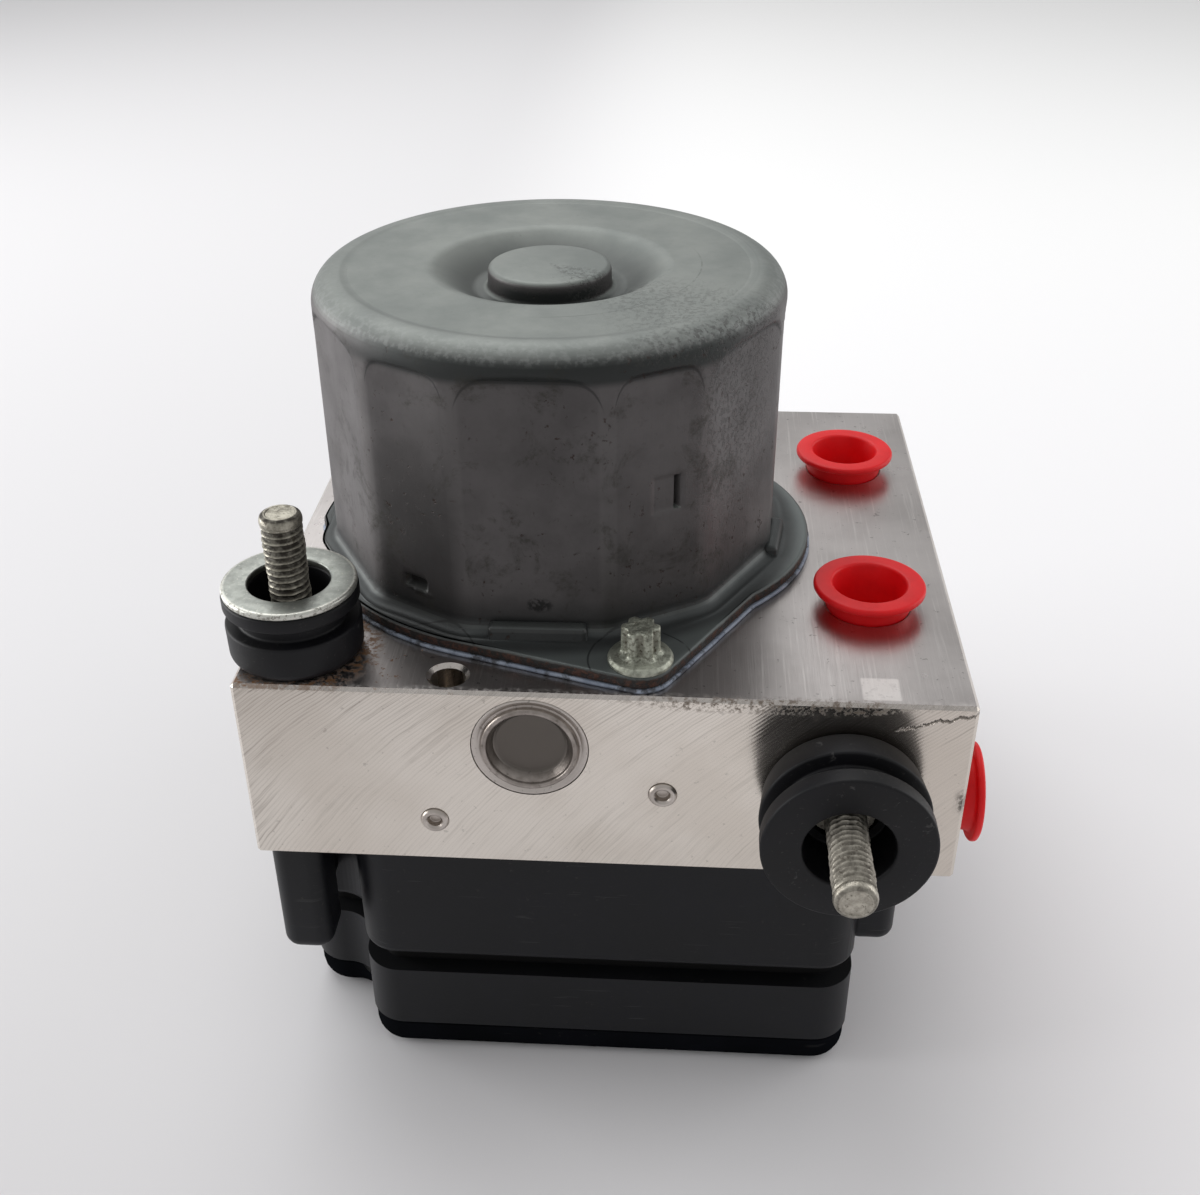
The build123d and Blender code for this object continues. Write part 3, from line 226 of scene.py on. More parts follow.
class Finish:
    # a material under construction; positions are read in millimetres
    def __init__(self, name):
        self.material = bpy.data.materials.new(name)
        self.material.use_nodes = True
        self.tree = self.material.node_tree
        self.tree.nodes.clear()
        coordinates = self.node("ShaderNodeTexCoord", output="Object")
        toMillimetres = {0: coordinates, "Scale": 1 / mm}
        self.place = self.node("ShaderNodeVectorMath", {"operation": "SCALE"}, toMillimetres)
        self.x, self.y, self.z = self.split(self.place)
        self.facing = self.split(self.node("ShaderNodeNewGeometry", output="True Normal"))

    def node(self, kind, settings=None, inputs=None, output=0):
        made = self.tree.nodes.new(kind)
        for key, setting in (settings or {}).items():
            setattr(made, key, setting)
        for key, value in (inputs or {}).items():
            if isinstance(value, Value):
                self.tree.links.new(value.socket, made.inputs[key])
            else:
                made.inputs[key].default_value = value
        return Value(self, made.outputs[output])

    def split(self, vector):
        made = self.node("ShaderNodeSeparateXYZ", inputs={0: vector})
        return [Value(self, socket) for socket in made.socket.node.outputs]

    def join(self, x, y, z):
        return self.node("ShaderNodeCombineXYZ", inputs={0: x, 1: y, 2: z})

    def noise(self, size, detail=3.0, rough=0.55, warp=0.0, place=None, stretch=None):
        # size is the width of one blotch in millimetres
        where = place or self.place
        if stretch:
            where = self.node("ShaderNodeVectorMath", {"operation": "MULTIPLY"}, {0: where, 1: stretch})
        return self.node(
            "ShaderNodeTexNoise", None,
            {"Vector": where, "Scale": 1 / size, "Detail": detail, "Roughness": rough, "Distortion": warp},
        )

    def step(self, value, low, high):
        # 0 below low, 1 above high and smooth between
        return self.node(
            "ShaderNodeMapRange", {"interpolation_type": "SMOOTHSTEP"}, {0: value, 1: low, 2: high},
        )

    def patches(self, low, high, *size, **more):
        return self.step(self.noise(*size, **more), low, high)

    def blotches(self, first, second, *size, low=0.3):
        # starts the colour with two tones; their pattern also serves for the roughness
        pattern = self.noise(*size)
        self.colour = self.mix(self.step(pattern, low, 0.7), first, second)
        return pattern

    def mix(self, factor, first, second):
        first, second = (tone(colour) if isinstance(colour, str) else colour for colour in (first, second))
        return self.node("ShaderNodeMix", {"data_type": "RGBA"}, {0: factor, 6: first, 7: second}, output=2)

    def paint(self, amount, colour):
        # lays a colour over the ones laid before
        self.colour = self.mix(amount, self.colour, colour)

    def close(self, roughness, metallic, height=None, **fixed):
        # height is in millimetres
        inputs = {"Base Color": self.colour, "Roughness": roughness, "Metallic": metallic}
        if height:
            bumpInputs = {"Height": height, "Distance": mm, "Strength": 1.0}
            inputs["Normal"] = self.node("ShaderNodeBump", None, bumpInputs)
        inputs.update({key.replace("_", " "): value for key, value in fixed.items()})
        shader = self.node("ShaderNodeBsdfPrincipled", None, inputs)
        made = self.tree.nodes.new("ShaderNodeOutputMaterial")
        self.tree.links.new(shader.socket, made.inputs[0])
        return self.material


# finishes, one for each kind of surface
# marks on the block: the cutter's arcs, an etched square, a burr, a chip and the dirty edge
cutter = {"radius": 128.0, "centreHeight": -26.0, "pitch": 0.8}
etched = {"x": 48.9, "y": -42.2, "half": 2.6, "soft": 0.15}
burrLine = {"start": 53.0, "height": 72.9, "slope": 0.28, "width": 0.34}
chipPlace = {"x": block["right"], "z": 60.0}


def milledAluminium():
    made = Finish("milledAluminium")
    x, y, z = made.x, made.y, made.z
    top = made.step(made.facing[2], 0.6, 0.8)
    front = made.step(made.facing[1] * -1, 0.6, 0.8)
    side = made.step(made.facing[0].abs(), 0.6, 0.8)
    # cutter marks: arcs of one radius stepped along the face, fine lines on top
    drop = z - cutter["centreHeight"]
    arc = x + (cutter["radius"] ** 2 - drop * drop).math("SQRT")
    unevenly = made.noise(7.0, 2.0) * 0.9
    arcLine = ((arc + unevenly) * (2 * math.pi / cutter["pitch"])).math("SINE")
    # each cutter line is a little stronger or weaker than the next
    lineByLine = made.noise(0.9, 3.0, 0.65, place=made.join(arc + unevenly, z * 0.06, 0.0))
    patchy = made.patches(0.42, 0.66, 14.0, 3.0, warp=1.0)
    nearTop = made.step(z, 66.0, 76.0)
    cut = (arcLine * 0.5 + lineByLine * 3.0) * (0.25 + 0.35 * patchy + 0.4 * nearTop) * front
    fine = made.noise(0.35, 4.0, 0.7, stretch=(1.0, 0.03, 0.2)) * top
    fineSide = made.noise(0.35, 4.0, 0.7, stretch=(0.2, 1.0, 0.04)) * side
    grain = made.noise(0.5, 3.0, 0.6)
    height = cut * 0.006 + fine * 0.02 + fineSide * 0.02 + grain * 0.004
    # colour: warm pale front and side faces and a greyer top, painted reflections of the bright floor in front and
    # the dimmer room above; brown dirt along the front edge and round the parts
    pale = made.mix(made.patches(0.35, 0.65, 22.0, 4.0), "e8e1d8", "ddd5cb")
    grey = made.mix(made.patches(0.3, 0.7, 16.0, 4.0), "c6c1bf", "b2adab")
    # darker towards the right: painted shade of the front mount on the faces
    pale = made.mix(made.step(x, 38.0, 60.0) * 0.5, pale, "c2b8ae")
    made.colour = made.mix(top, pale, grey)
    heavy = (0.25 * patchy + nearTop * 0.75 + made.step(x, -34.0, -42.0) * 0.5).clamp()
    lines = made.step(lineByLine, 0.5, 0.72) * 0.7 + made.step(arcLine, 0.3, 0.98) * 0.35
    made.paint(lines * (0.2 + 0.6 * heavy) * front, "857d74")
    streak = made.step(made.noise(0.45, 3.0, 0.65, stretch=(1.0, 0.02, 1.0)), 0.52, 0.72) * top
    made.paint(streak * 0.4, "e2dedb")
    rightHalf = made.step(x, 8.0, 24.0) * made.step(x, 54.0, 46.0)
    edge = made.step((z - level["blockTop"]).abs() - rightHalf * 1.2, 1.2, 0.1)
    edge = edge * made.step((y - block["front"]).abs(), 1.7, 0.1)
    crumbs = made.patches(0.46, 0.6, 0.9, 5.0, 0.75)
    farLeft = made.step(x, -18.0, -24.0)
    crumbly = 0.08 + 0.75 * (rightHalf + farLeft * 0.4).clamp()
    made.paint(edge * crumbs * crumbly, "5c4a39")
    rightChip = made.step((x - chipPlace["x"]).abs(), 2.0, 0.2) * front
    rightChip = rightChip * made.step((z - chipPlace["z"]).abs(), 2.6, 0.6)
    made.paint(rightChip * made.patches(0.44, 0.54, 0.9, 4.0, 0.7), "4f473f")
    # rust gathers round the top mount's foot and in dots further out
    roundMount = (distance(x - topStud[0][0], y - topStud[0][1]) - 10.2).abs()
    rust = made.step(roundMount, 3.6, 0.2) * made.patches(0.475, 0.54, 1.5, 5.0, 0.75)
    rust = (rust + made.step(roundMount, 22.0, 8.0) * made.patches(0.62, 0.67, 1.2, 4.0, 0.7)) * top
    made.paint(rust.clamp() * 0.9, "7a4f1e")
    spots = made.patches(0.66, 0.72, 1.1, 3.0, 0.6) * (0.5 + 0.5 * top)
    made.paint(spots * 0.5, "5e5a57")
    # a small plain etched square near the front edge
    outside, inside = etched["half"] + etched["soft"], etched["half"] - etched["soft"]
    square = made.step((x - etched["x"]).abs(), outside, inside) * top
    square = square * made.step((y - etched["y"]).abs(), outside, inside)
    made.paint(square * made.patches(0.25, 0.5, 0.8, 4.0, 0.7) * 0.6, "dedad7")
    # a fine wandering burr under the right-hand top edge
    wander = made.noise(2.5, 4.0, 0.7, stretch=(1.0, 0.0, 0.0))
    line = (z - burrLine["height"] - (x - burrLine["start"]) * burrLine["slope"] - (wander - 0.5) * 3.2).abs()
    burr = made.step(line, burrLine["width"], 0.05) * made.step(x, 50.6, 52.4) * front
    burr = burr * made.patches(0.34, 0.5, 0.7, 3.0, 0.7)
    made.paint(burr * 0.8, "4c443d")
    height = height - burr * 0.15
    rough = 0.16 + 0.08 * made.noise(6.0, 3.0) + crumbs * edge * 0.3 + square * 0.2
    rough = rough + 0.12 * side + 0.09 * top
    metal = 1.0 - 0.85 * (rust + edge * crumbs + rightChip).clamp()
    return made.close(rough, metal, height)


# marks on the can, by their angle round it and height: a notch near the foot, a smudge in
# front, and the middles of the shaded, the dimmed and the chipped parts
canMarks = {
    "notch": (-120.6, 84.2), "smudge": (-88.8, 83.6), "shade": -84.0, "dim": -119.0, "chips": (-42.0, -32.0),
}
halfStep = can["step"] / 2
lobeTurn = math.radians(can["lobeAngles"][0])
screwPlace = [abs(can["lobeCircle"] * turn(lobeTurn)) for turn in (math.cos, math.sin)]


def drawnSteel():
    made = Finish("drawnSteel")
    x, y, z = made.x, made.y, made.z
    up = made.step(made.facing[2], 0.25, 0.8)
    low = made.step(z, 81.8, 80.6)
    away = made.step(y, -4.0, -24.0)
    fromAxis = distance(x, y)
    turnTo = made.node("ShaderNodeMath", {"operation": "ARCTAN2"}, {0: y, 1: x}) * (180 / math.pi)
    cloudy = made.noise(14.0, 5.0, 0.6)
    # lit and shaded tones of one steel: the end that faces up is painted lighter and the walls darker, as the
    # light falls on them
    plain = made.mix(made.step(cloudy, 0.3, 0.7), "858985", "747976")
    worn = made.mix(made.step(cloudy, 0.35, 0.68), "605d5d", "4f4c4c")
    # the narrow bands between the flats are lighter: partly polished by the drawing die, partly a painted
    # highlight on the soft edges
    inStep = ((turnTo + 360.0) * (1 / can["step"])).math("FRACT") * can["step"]
    inPair = (inStep - halfStep).abs()
    polishAndHighlightBand = made.step((inPair - 17.4).abs(), 2.6, 1.4) * made.step(z, 82.0, 88.0) * made.step(z, 118.5, 115.0)
    worn = made.mix(polishAndHighlightBand * 0.1, worn, "8f8c8b")
    made.colour = made.mix(up, worn, plain)
    # painted shade in the bowl round the boss
    bowl = made.step(fromAxis, 18.0, 12.5) * made.step(fromAxis, 9.4, 10.2) * made.step(z, 122.3, 121.3)
    made.paint(bowl * 0.62, "3a3d3d")
    flange = made.mix(made.step(cloudy, 0.35, 0.7), "4b4e4e", "3e4141")
    flange = made.mix(made.step(fromAxis, 38.0, 41.0), flange, "6e7473")
    made.paint(low * up, flange)
    # painted shade on the wall's foot and on the fronts of the locating bars
    foot = made.step(z, 86.0, 81.4) * (1.0 - up) * 0.45 + low * (1.0 - up) * 0.4
    made.paint(foot, "2c3030")
    # a fine curved line in the flange round each screw
    fromScrew = (distance(x.abs() - screwPlace[0], y.abs() - screwPlace[1]) - 7.4).abs()
    curve = made.step(fromScrew, 0.2, 0.06) * made.patches(0.34, 0.46, 3.0, 3.0) * low * up
    made.paint(curve * 0.7, "1d1e1e")
    # painted shade in the notch near the foot, and a dark smudge in front
    notchAngle, notchHeight = canMarks["notch"]
    smudgeAngle, smudgeHeight = canMarks["smudge"]
    notch = ((turnTo - notchAngle) * 0.24) ** 2.0 + ((z - notchHeight) * 0.62) ** 2.0
    smudge = ((turnTo - smudgeAngle) * 0.3) ** 2.0 + ((z - smudgeHeight) * 0.8) ** 2.0
    dirtAndShade = made.step(notch, 1.3, 0.4) + made.step(smudge, 1.3, 0.3) * made.patches(0.4, 0.55, 0.9, 3.0)
    made.paint(dirtAndShade.clamp() * 0.85, "141413")
    # a dark greenish band below the shoulder, towards the front
    shade = made.step(z, 116.8, 118.2) * made.step(z, 121.6, 120.4)
    shade = shade * made.step((turnTo - canMarks["shade"]).abs(), 66.0, 34.0)
    made.paint(shade * 0.92, "2b2f2e")
    # painted shade: a fine dark line along each flat's top, under the step where it leans out
    wideTop = (inPair * (1 / can["wideHalf"])) ** 8.0
    narrowTop = ((halfStep - inPair) * (1 / can["narrowHalf"])) ** 8.0
    lineDrop = wideTop.math("MINIMUM", narrowTop) * can["cornerDrop"]
    line = made.step((z + lineDrop - can["panelTop"] + 0.1).abs(), 0.42, 0.1)
    line = line * made.step(z, 113.2, 115.6) * (1.0 - up)
    made.paint(line * 0.6, "242525")
    # painted shade: the flats at the front left are darker, most of all near their foot, and walls that face the
    # front are a little darker
    dim = made.step((turnTo - canMarks["dim"]).abs(), 15.0, 9.0) * made.step(z, 122.0, 92.0)
    ahead = made.step(made.facing[1] * -1, 0.7, 0.97) * (1.0 - up)
    made.paint(dim * 0.4 + ahead * 0.16, "2b2a2a")
    # stained patches and small pits on the walls
    stain = made.patches(0.52, 0.62, 8.0, 7.0, 0.72, warp=0.5) * (1.0 - up) * away
    mottle = made.patches(0.42, 0.62, 0.9, 4.0, 0.7)
    made.paint(stain * (0.15 + 0.45 * mottle), "383630")
    pit = made.patches(0.6, 0.68, 1.1, 4.0, 0.65) * (1.0 - up)
    pit = pit * (0.15 + 0.85 * made.patches(0.46, 0.58, 11.0, 3.0))
    made.paint(pit * 0.8, made.mix(made.noise(2.0, 2.0), "1c1b19", "3b241b"))
    # chips along the shoulder and down the right-hand side
    rightSide, rightWall = (made.step((turnTo - middle).abs(), wide, 8.0)
                            for middle, wide in zip(canMarks["chips"], (34.0, 26.0)))
    shoulder = made.step((z - 120.9).abs(), 2.2, 0.5)
    down = made.step(z, 84.0, 108.0) * rightWall * (0.8 - 0.8 * up)
    chip = made.patches(0.51, 0.58, 0.8, 4.0, 0.75) * (shoulder + down).clamp() * rightSide
    made.paint(chip * 0.75, "383634")
    # a lighter band round the shoulder's edge: partly worn metal, partly a painted highlight
    rim = made.step((z - 121.4).abs(), 1.5, 0.3) * made.step(fromAxis, 30.6, 31.6)
    rim = rim * (0.12 + 0.22 * made.patches(0.45, 0.62, 0.9, 3.0, 0.6))
    made.paint(rim, "a6a9a7")
    # faint marks on the end: a compass-like scratch and the edge of the pressed ring
    scratch = made.step((fromAxis - 22.6).abs(), 0.16, 0.04) * made.step((turnTo + 38.0).abs(), 62.0, 40.0)
    scratch = scratch * made.patches(0.4, 0.52, 2.6, 3.0) * up
    made.paint(scratch * 0.5, "4e514f")
    made.paint(made.step((fromAxis - 30.6).abs(), 0.7, 0.1) * up * 0.22, "5d615f")
    made.paint(made.patches(0.66, 0.72, 0.7, 3.0, 0.6) * up * 0.3, "5b5e5c")
    # the flange's cut edge is rusty
    cutEdge = made.step(z, 78.75, 78.55) * made.step(made.facing[2].abs(), 0.8, 0.5)
    flaky = made.noise(1.3, 5.0, 0.75)
    rust = cutEdge * (0.6 + 0.4 * made.step(flaky, 0.4, 0.6))
    made.paint(rust, made.mix(made.step(flaky, 0.44, 0.6), "211a17", "4a2e22"))
    drawn = made.noise(0.5, 3.0, 0.6, stretch=(1.0, 1.0, 0.05)) * (1.0 - up)
    grain = made.noise(0.28, 3.0, 0.7)
    height = grain * 0.012 + drawn * 0.012 + made.noise(2.2, 3.0) * 0.02
    height = height - pit * 0.05 - chip * 0.09 + flaky * rust * 0.3
    rough = 0.46 + 0.14 * cloudy + 0.2 * (rust + stain * 0.5).clamp() - 0.08 * low
    metal = 0.6 - 0.45 * (rust + chip).clamp()
    return made.close(rough, metal, height)


def zincSteel(name="zincSteel", base="c4c2b6", dark="8f8c80", highlightRim=0.0):
    # the last argument is the radius where the top mount's washer gets a painted highlight, 0 for none
    made = Finish(name)
    worn = made.blotches(base, dark, 1.6, 5.0, 0.65)
    fleck = made.patches(0.62, 0.7, 0.45, 3.0, 0.6)
    made.paint(fleck * 0.6, "d6d2c6")
    dirt = made.patches(0.62, 0.7, 0.9, 4.0, 0.7)
    if highlightRim:
        # a painted highlight on the washer's outer edge, with brown specks
        rim = made.step(distance(made.x - topStud[0][0], made.y - topStud[0][1]), highlightRim, highlightRim + 0.4)
        made.paint(rim * 0.85, "dcdcd4")
        dirt = (dirt + rim * made.patches(0.52, 0.6, 0.7, 4.0, 0.75)).clamp()
    made.paint(dirt * 0.6, "4a4133")
    height = made.noise(0.3, 3.0, 0.6) * 0.02 + worn * 0.02
    return made.close(0.3 + 0.2 * worn + 0.2 * dirt, 0.95 - 0.5 * dirt, height)


def screwSteel():
    # zinc with painted shade between the lobes and brown dirt on the worn end
    made = Finish("screwSteel")
    fromAxis = distance(made.x.abs() - screwPlace[0], made.y.abs() - screwPlace[1])
    worn = made.noise(1.1, 5.0, 0.7)
    made.colour = made.mix(made.step(worn, 0.36, 0.64), "b9bcae", "8b8d81")
    # painted shade in the hollows between the lobes
    between = made.step(fromAxis, 2.62, 2.2) * made.step(made.z, 80.4, 81.0) * made.step(made.z, 84.5, 84.2)
    dirt = made.patches(0.54, 0.62, 0.6, 4.0, 0.7) * made.step(fromAxis, 4.3, 3.2)
    dirtAndShade = (between * 0.5 + dirt * 0.5).clamp()
    made.paint(dirtAndShade, "4a4133")
    height = made.noise(0.5, 4.0, 0.7) * 0.08 - dirt * 0.06
    return made.close(0.34 + 0.2 * worn + 0.2 * dirtAndShade, 0.9 - 0.5 * dirtAndShade, height)


def studSteel(name, place, rootShade, base, dark):
    # the third argument is how much painted shade darkens the thread's root
    made = Finish(name)
    position = zip((made.x, made.y, made.z), place[0], place[2])
    fromAxis = distance(*[value - centre for value, centre, along in position if not along])
    worn = made.blotches(base, dark, 1.2, 5.0, 0.65)
    # painted shade in the thread's root
    root = made.step(fromAxis, 2.92, 2.62) * made.step(fromAxis, 2.2, 2.4)
    made.paint(root * (0.65 + 0.3 * made.step(worn, 0.4, 0.6)) * rootShade, "2b2620")
    dirt = made.patches(0.56, 0.66, 0.8, 4.0, 0.7)
    made.paint(dirt * 0.6, "453c30")
    height = made.noise(0.3, 3.0, 0.6) * 0.03 + worn * 0.03
    dirtAndShade = (dirt + root * rootShade).clamp()
    return made.close(0.3 + 0.2 * worn + 0.25 * dirtAndShade, 0.95 - 0.5 * dirtAndShade, height)


def swagedSteel():
    # the pressed-in plugs on the front and back: a dark flat floor inside bright rounded rings
    made = Finish("swagedSteel")
    fromAxis = distance(made.x, made.z - level["pumpAxis"])
    patch = made.noise(2.5, 4.0, 0.6)
    ring = made.mix(made.step(patch, 0.3, 0.7), "b3aba5", "8f8781")
    made.colour = made.mix(made.step(fromAxis, 6.0, 5.0), ring, "65605b")
    # a painted highlight on the swaged lip round the edge
    outer = made.step(fromAxis, 7.0, 7.5) * made.step(fromAxis, 9.0, 8.6)
    made.paint(outer * 0.8, "cfc8c2")
    spots = made.patches(0.6, 0.7, 0.7, 3.0, 0.6)
    made.paint(spots * 0.4 * made.step(fromAxis, 4.6, 5.4), "463f3a")
    return made.close(0.3 + 0.1 * patch, 1.0, made.noise(0.25, 3.0, 0.6) * 0.008)


def mouldedRubber():
    made = Finish("mouldedRubber")
    patch = made.blotches("08080b", "0d0d12", 9.0, 4.0, 0.6, low=0.35)
    scuff = made.patches(0.62, 0.7, 2.0, 5.0, 0.7, warp=1.2)
    scuff = scuff * made.patches(0.5, 0.6, 16.0, 2.0)
    made.paint(scuff * 0.35, "6d6c6b")
    dust = made.patches(0.66, 0.74, 0.5, 2.0)
    made.paint(dust * 0.2, "55534f")
    height = made.noise(0.25, 3.0, 0.6) * 0.01 + patch * 0.02 + scuff * 0.02
    return made.close(0.44 + 0.14 * patch + 0.2 * scuff, 0.0, height, Specular_IOR_Level=0.3)


def mouldedPlastic(name="mouldedPlastic", sheen=0.3, dark="07080c", darkest="0c0d13"):
    made = Finish(name)
    patch = made.blotches(dark, darkest, 20.0, 4.0, 0.6, low=0.35)
    # the groove between the wall and the skirt lies in the dark
    shaded = made.step(made.z, 18.3, 18.7) * made.step(made.z, 22.4, 21.8)
    made.paint(shaded, "010101")
    dust = made.patches(0.6, 0.75, 1.1, 5.0, 0.7) * made.patches(0.45, 0.62, 24.0, 2.0)
    made.paint(dust * 0.16, "77736c")
    scratch = made.noise(0.5, 2.0, 0.5, stretch=(0.05, 0.05, 1.0))
    scratch = made.step(scratch, 0.66, 0.7) * made.patches(0.5, 0.6, 12.0, 2.0)
    made.paint(scratch * 0.12, "60605f")
    height = made.noise(0.32, 3.0, 0.6) * 0.012 + scratch * 0.01
    rough = 0.38 + 0.14 * patch + 0.2 * dust + 0.3 * shaded
    return made.close(rough, 0.0, height, Specular_IOR_Level=sheen)


def plugPlastic():
    made = Finish("plugPlastic")
    patch = made.blotches("e80f18", "dc0b15", 5.0, 3.0, 0.6, low=0.35)
    scuff = made.patches(0.62, 0.72, 1.3, 4.0, 0.7)
    made.paint(scuff * 0.15, "e84a45")
    height = made.noise(0.4, 3.0, 0.6) * 0.01
    return made.close(
        0.42 + 0.1 * patch + 0.1 * scuff, 0.0, height, Specular_IOR_Level=0.35,
        Subsurface_Weight=0.35, Subsurface_Radius=(1.0, 0.08, 0.05), Subsurface_Scale=0.003,
    )


def gasketRubber():
    made = Finish("gasketRubber")
    patch = made.blotches("9aa3b2", "757f90", 3.0, 4.0, 0.6, low=0.35)
    dirt = made.patches(0.5, 0.6, 4.0, 5.0, 0.7)
    made.paint(dirt * 0.8, "2c2826")
    return made.close(0.5 + 0.2 * dirt, 0.1, made.noise(0.3, 3.0) * 0.01)


def turnedSteel(name="turnedSteel", base="96928f", dark="7f7b78", gloss=0.3):
    made = Finish(name)
    patch = made.blotches(base, dark, 5.0, 4.0, 0.6)
    spots = made.patches(0.66, 0.74, 0.7, 3.0, 0.6)
    made.paint(spots * 0.35, "3d3a37")
    height = made.noise(0.25, 3.0, 0.6) * 0.012
    return made.close(gloss + 0.16 * patch, 1.0 - 0.3 * spots, height)


def plainFinish(name, first, second, gloss, metallic, size=3.0, rise=0.01):
    # two near tones in soft blotches over a fine grain
    made = Finish(name)
    patch = made.blotches(first, second, size, 4.0, 0.6)
    return made.close(gloss + 0.12 * patch, metallic, made.noise(0.35, 3.0) * rise)


finish = {
    "block_aluminium": milledAluminium(),
    "can_steel": drawnSteel(),
    "gasket_rubber": gasketRubber(),
    "zinc_steel": zincSteel(),
    "machined_steel": turnedSteel(),
    "mount_rubber": mouldedRubber(),
    "plug_red": plugPlastic(),
    "unit_plastic": mouldedPlastic(),
    "contact_brass": plainFinish("contactBrass", "c9a24c", "b48c3c", 0.25, 1.0),
    "copper": plainFinish("copperWire", "b86b3c", "9c5530", 0.3, 1.0, 1.2, 0.03),
    "core_steel": plainFinish("coreSteel", "7c7d80", "66676a", 0.4, 1.0),
    "bearing_steel": plainFinish("bearingSteel", "c6c6c8", "b4b4b6", 0.15, 1.0, 4.0, 0.002),
    "spring_steel": plainFinish("springSteel", "8e8e90", "76767a", 0.3, 1.0),
    "piston_aluminium": plainFinish("pistonAluminium", "b9b9bd", "a8a8ad", 0.3, 1.0),
    "magnet_ferrite": plainFinish("magnetFerrite", "3a3a3d", "2e2e31", 0.6, 0.2),
    "brush_carbon": plainFinish("brushCarbon", "2a2a2b", "1f1f20", 0.6, 0.1),
    "board_laminate": plainFinish("boardLaminate", "1f6b3c", "185a32", 0.35, 0.0, 8.0),
    "holder_plastic": plainFinish("holderPlastic", "5a3f28", "4a3220", 0.5, 0.0),
    "coil_plastic": plainFinish("coilPlastic", "2a2a30", "202026", 0.45, 0.0),
}
for node, kept in frame["nodes"].items():
    kept.data.materials.clear()
    kept.data.materials.append(finish[slotOf[node]])
print("finishes ready")


# pressed details: angle and height of the middle, half sizes, edge softness, depth
dents = (
    (302.3, 99.6, 2.0, 2.4, 0.8, 0.2),
    (304.9, 99.5, 0.3, 2.4, 0.25, 1.2),
    (239.4, 84.4, 1.6, 0.5, 0.7, 1.0),
    (241.6, 83.0, 1.4, 0.1, 0.5, -0.15),
)


def panelRadius(degrees, height, middle, half, apothem):
    # one set of flats: each is a plane that leans out above its top line, lower at its corners
    away = (degrees - middle + halfStep) % can["step"] - halfStep
    top = can["panelTop"] - can["cornerDrop"] * (np.abs(away) / half) ** 8
    return (apothem + np.maximum(height - top, 0) * can["rampSlope"]) / np.cos(np.radians(away))


def wallRadius(degrees, height, around=can["round"]):
    # the least of the cylinder and the flats, blended softly where they meet
    wide = panelRadius(degrees, height, can["turn"], can["wideHalf"], can["wide"])
    narrow = panelRadius(degrees, height, can["turn"] + halfStep, can["narrowHalf"], can["narrow"])
    every = np.stack(np.broadcast_arrays(wide, narrow, around))
    least = every.min(axis=0)
    blend = np.exp((least - every) / can["soft"]).sum(axis=0)
    radius = least - can["soft"] * np.log(blend)
    for angle, middle, halfWidth, halfHeight, edge, depth in dents:
        across = np.abs((degrees - angle + 180) % 360 - 180) * math.radians(1) * can["wide"]
        pastSide = np.maximum(across - halfWidth, 0)
        pastEnd = np.maximum(np.abs(height - middle) - halfHeight, 0)
        beyond = np.hypot(pastSide, pastEnd)
        radius = radius - depth * (1 - np.clip(beyond / edge, 0, 1)) ** 1.5
    return radius


def flangeRadius(degrees):
    # the hull of the ring and the screw lobes, from its support lines, plus the side bulge
    facing = np.radians(np.arange(0, 360, 0.5))
    lobes = can["lobeCircle"] * np.cos(facing[:, None] - np.radians(can["lobeAngles"])) + can["lobeRadius"]
    support = np.maximum(can["flangeRadius"], lobes.max(axis=1))
    turnTo = np.radians(degrees)
    lean = np.cos(facing[:, None] - turnTo[None])
    leastLean = 0.2
    hull = np.where(lean > leastLean, support[:, None] / np.maximum(lean, leastLean), 1e3).min(axis=0)
    bulge = can["bulgeCentre"] * np.cos(turnTo) + np.sqrt(
        can["bulgeRadius"] ** 2 - (can["bulgeCentre"] * np.sin(turnTo)) ** 2
    )
    flat = np.cos(turnTo - math.radians(can["flatAngle"]))
    radius = np.maximum(hull, bulge)
    return np.where(flat > 0.5, np.minimum(radius, can["flat"] / np.maximum(flat, 0.5)), radius)


def rings(degrees, *parts, loop=False):
    # rows round the can's axis; each part is a radius, which may differ by angle, and a height
    turnTo = np.radians(degrees)[None]
    rows = [
        np.stack([radius * np.cos(turnTo), radius * np.sin(turnTo), height + 0 * turnTo], axis=-1)
        for radius, height in parts
    ]
    return grid(np.concatenate(rows), loop)


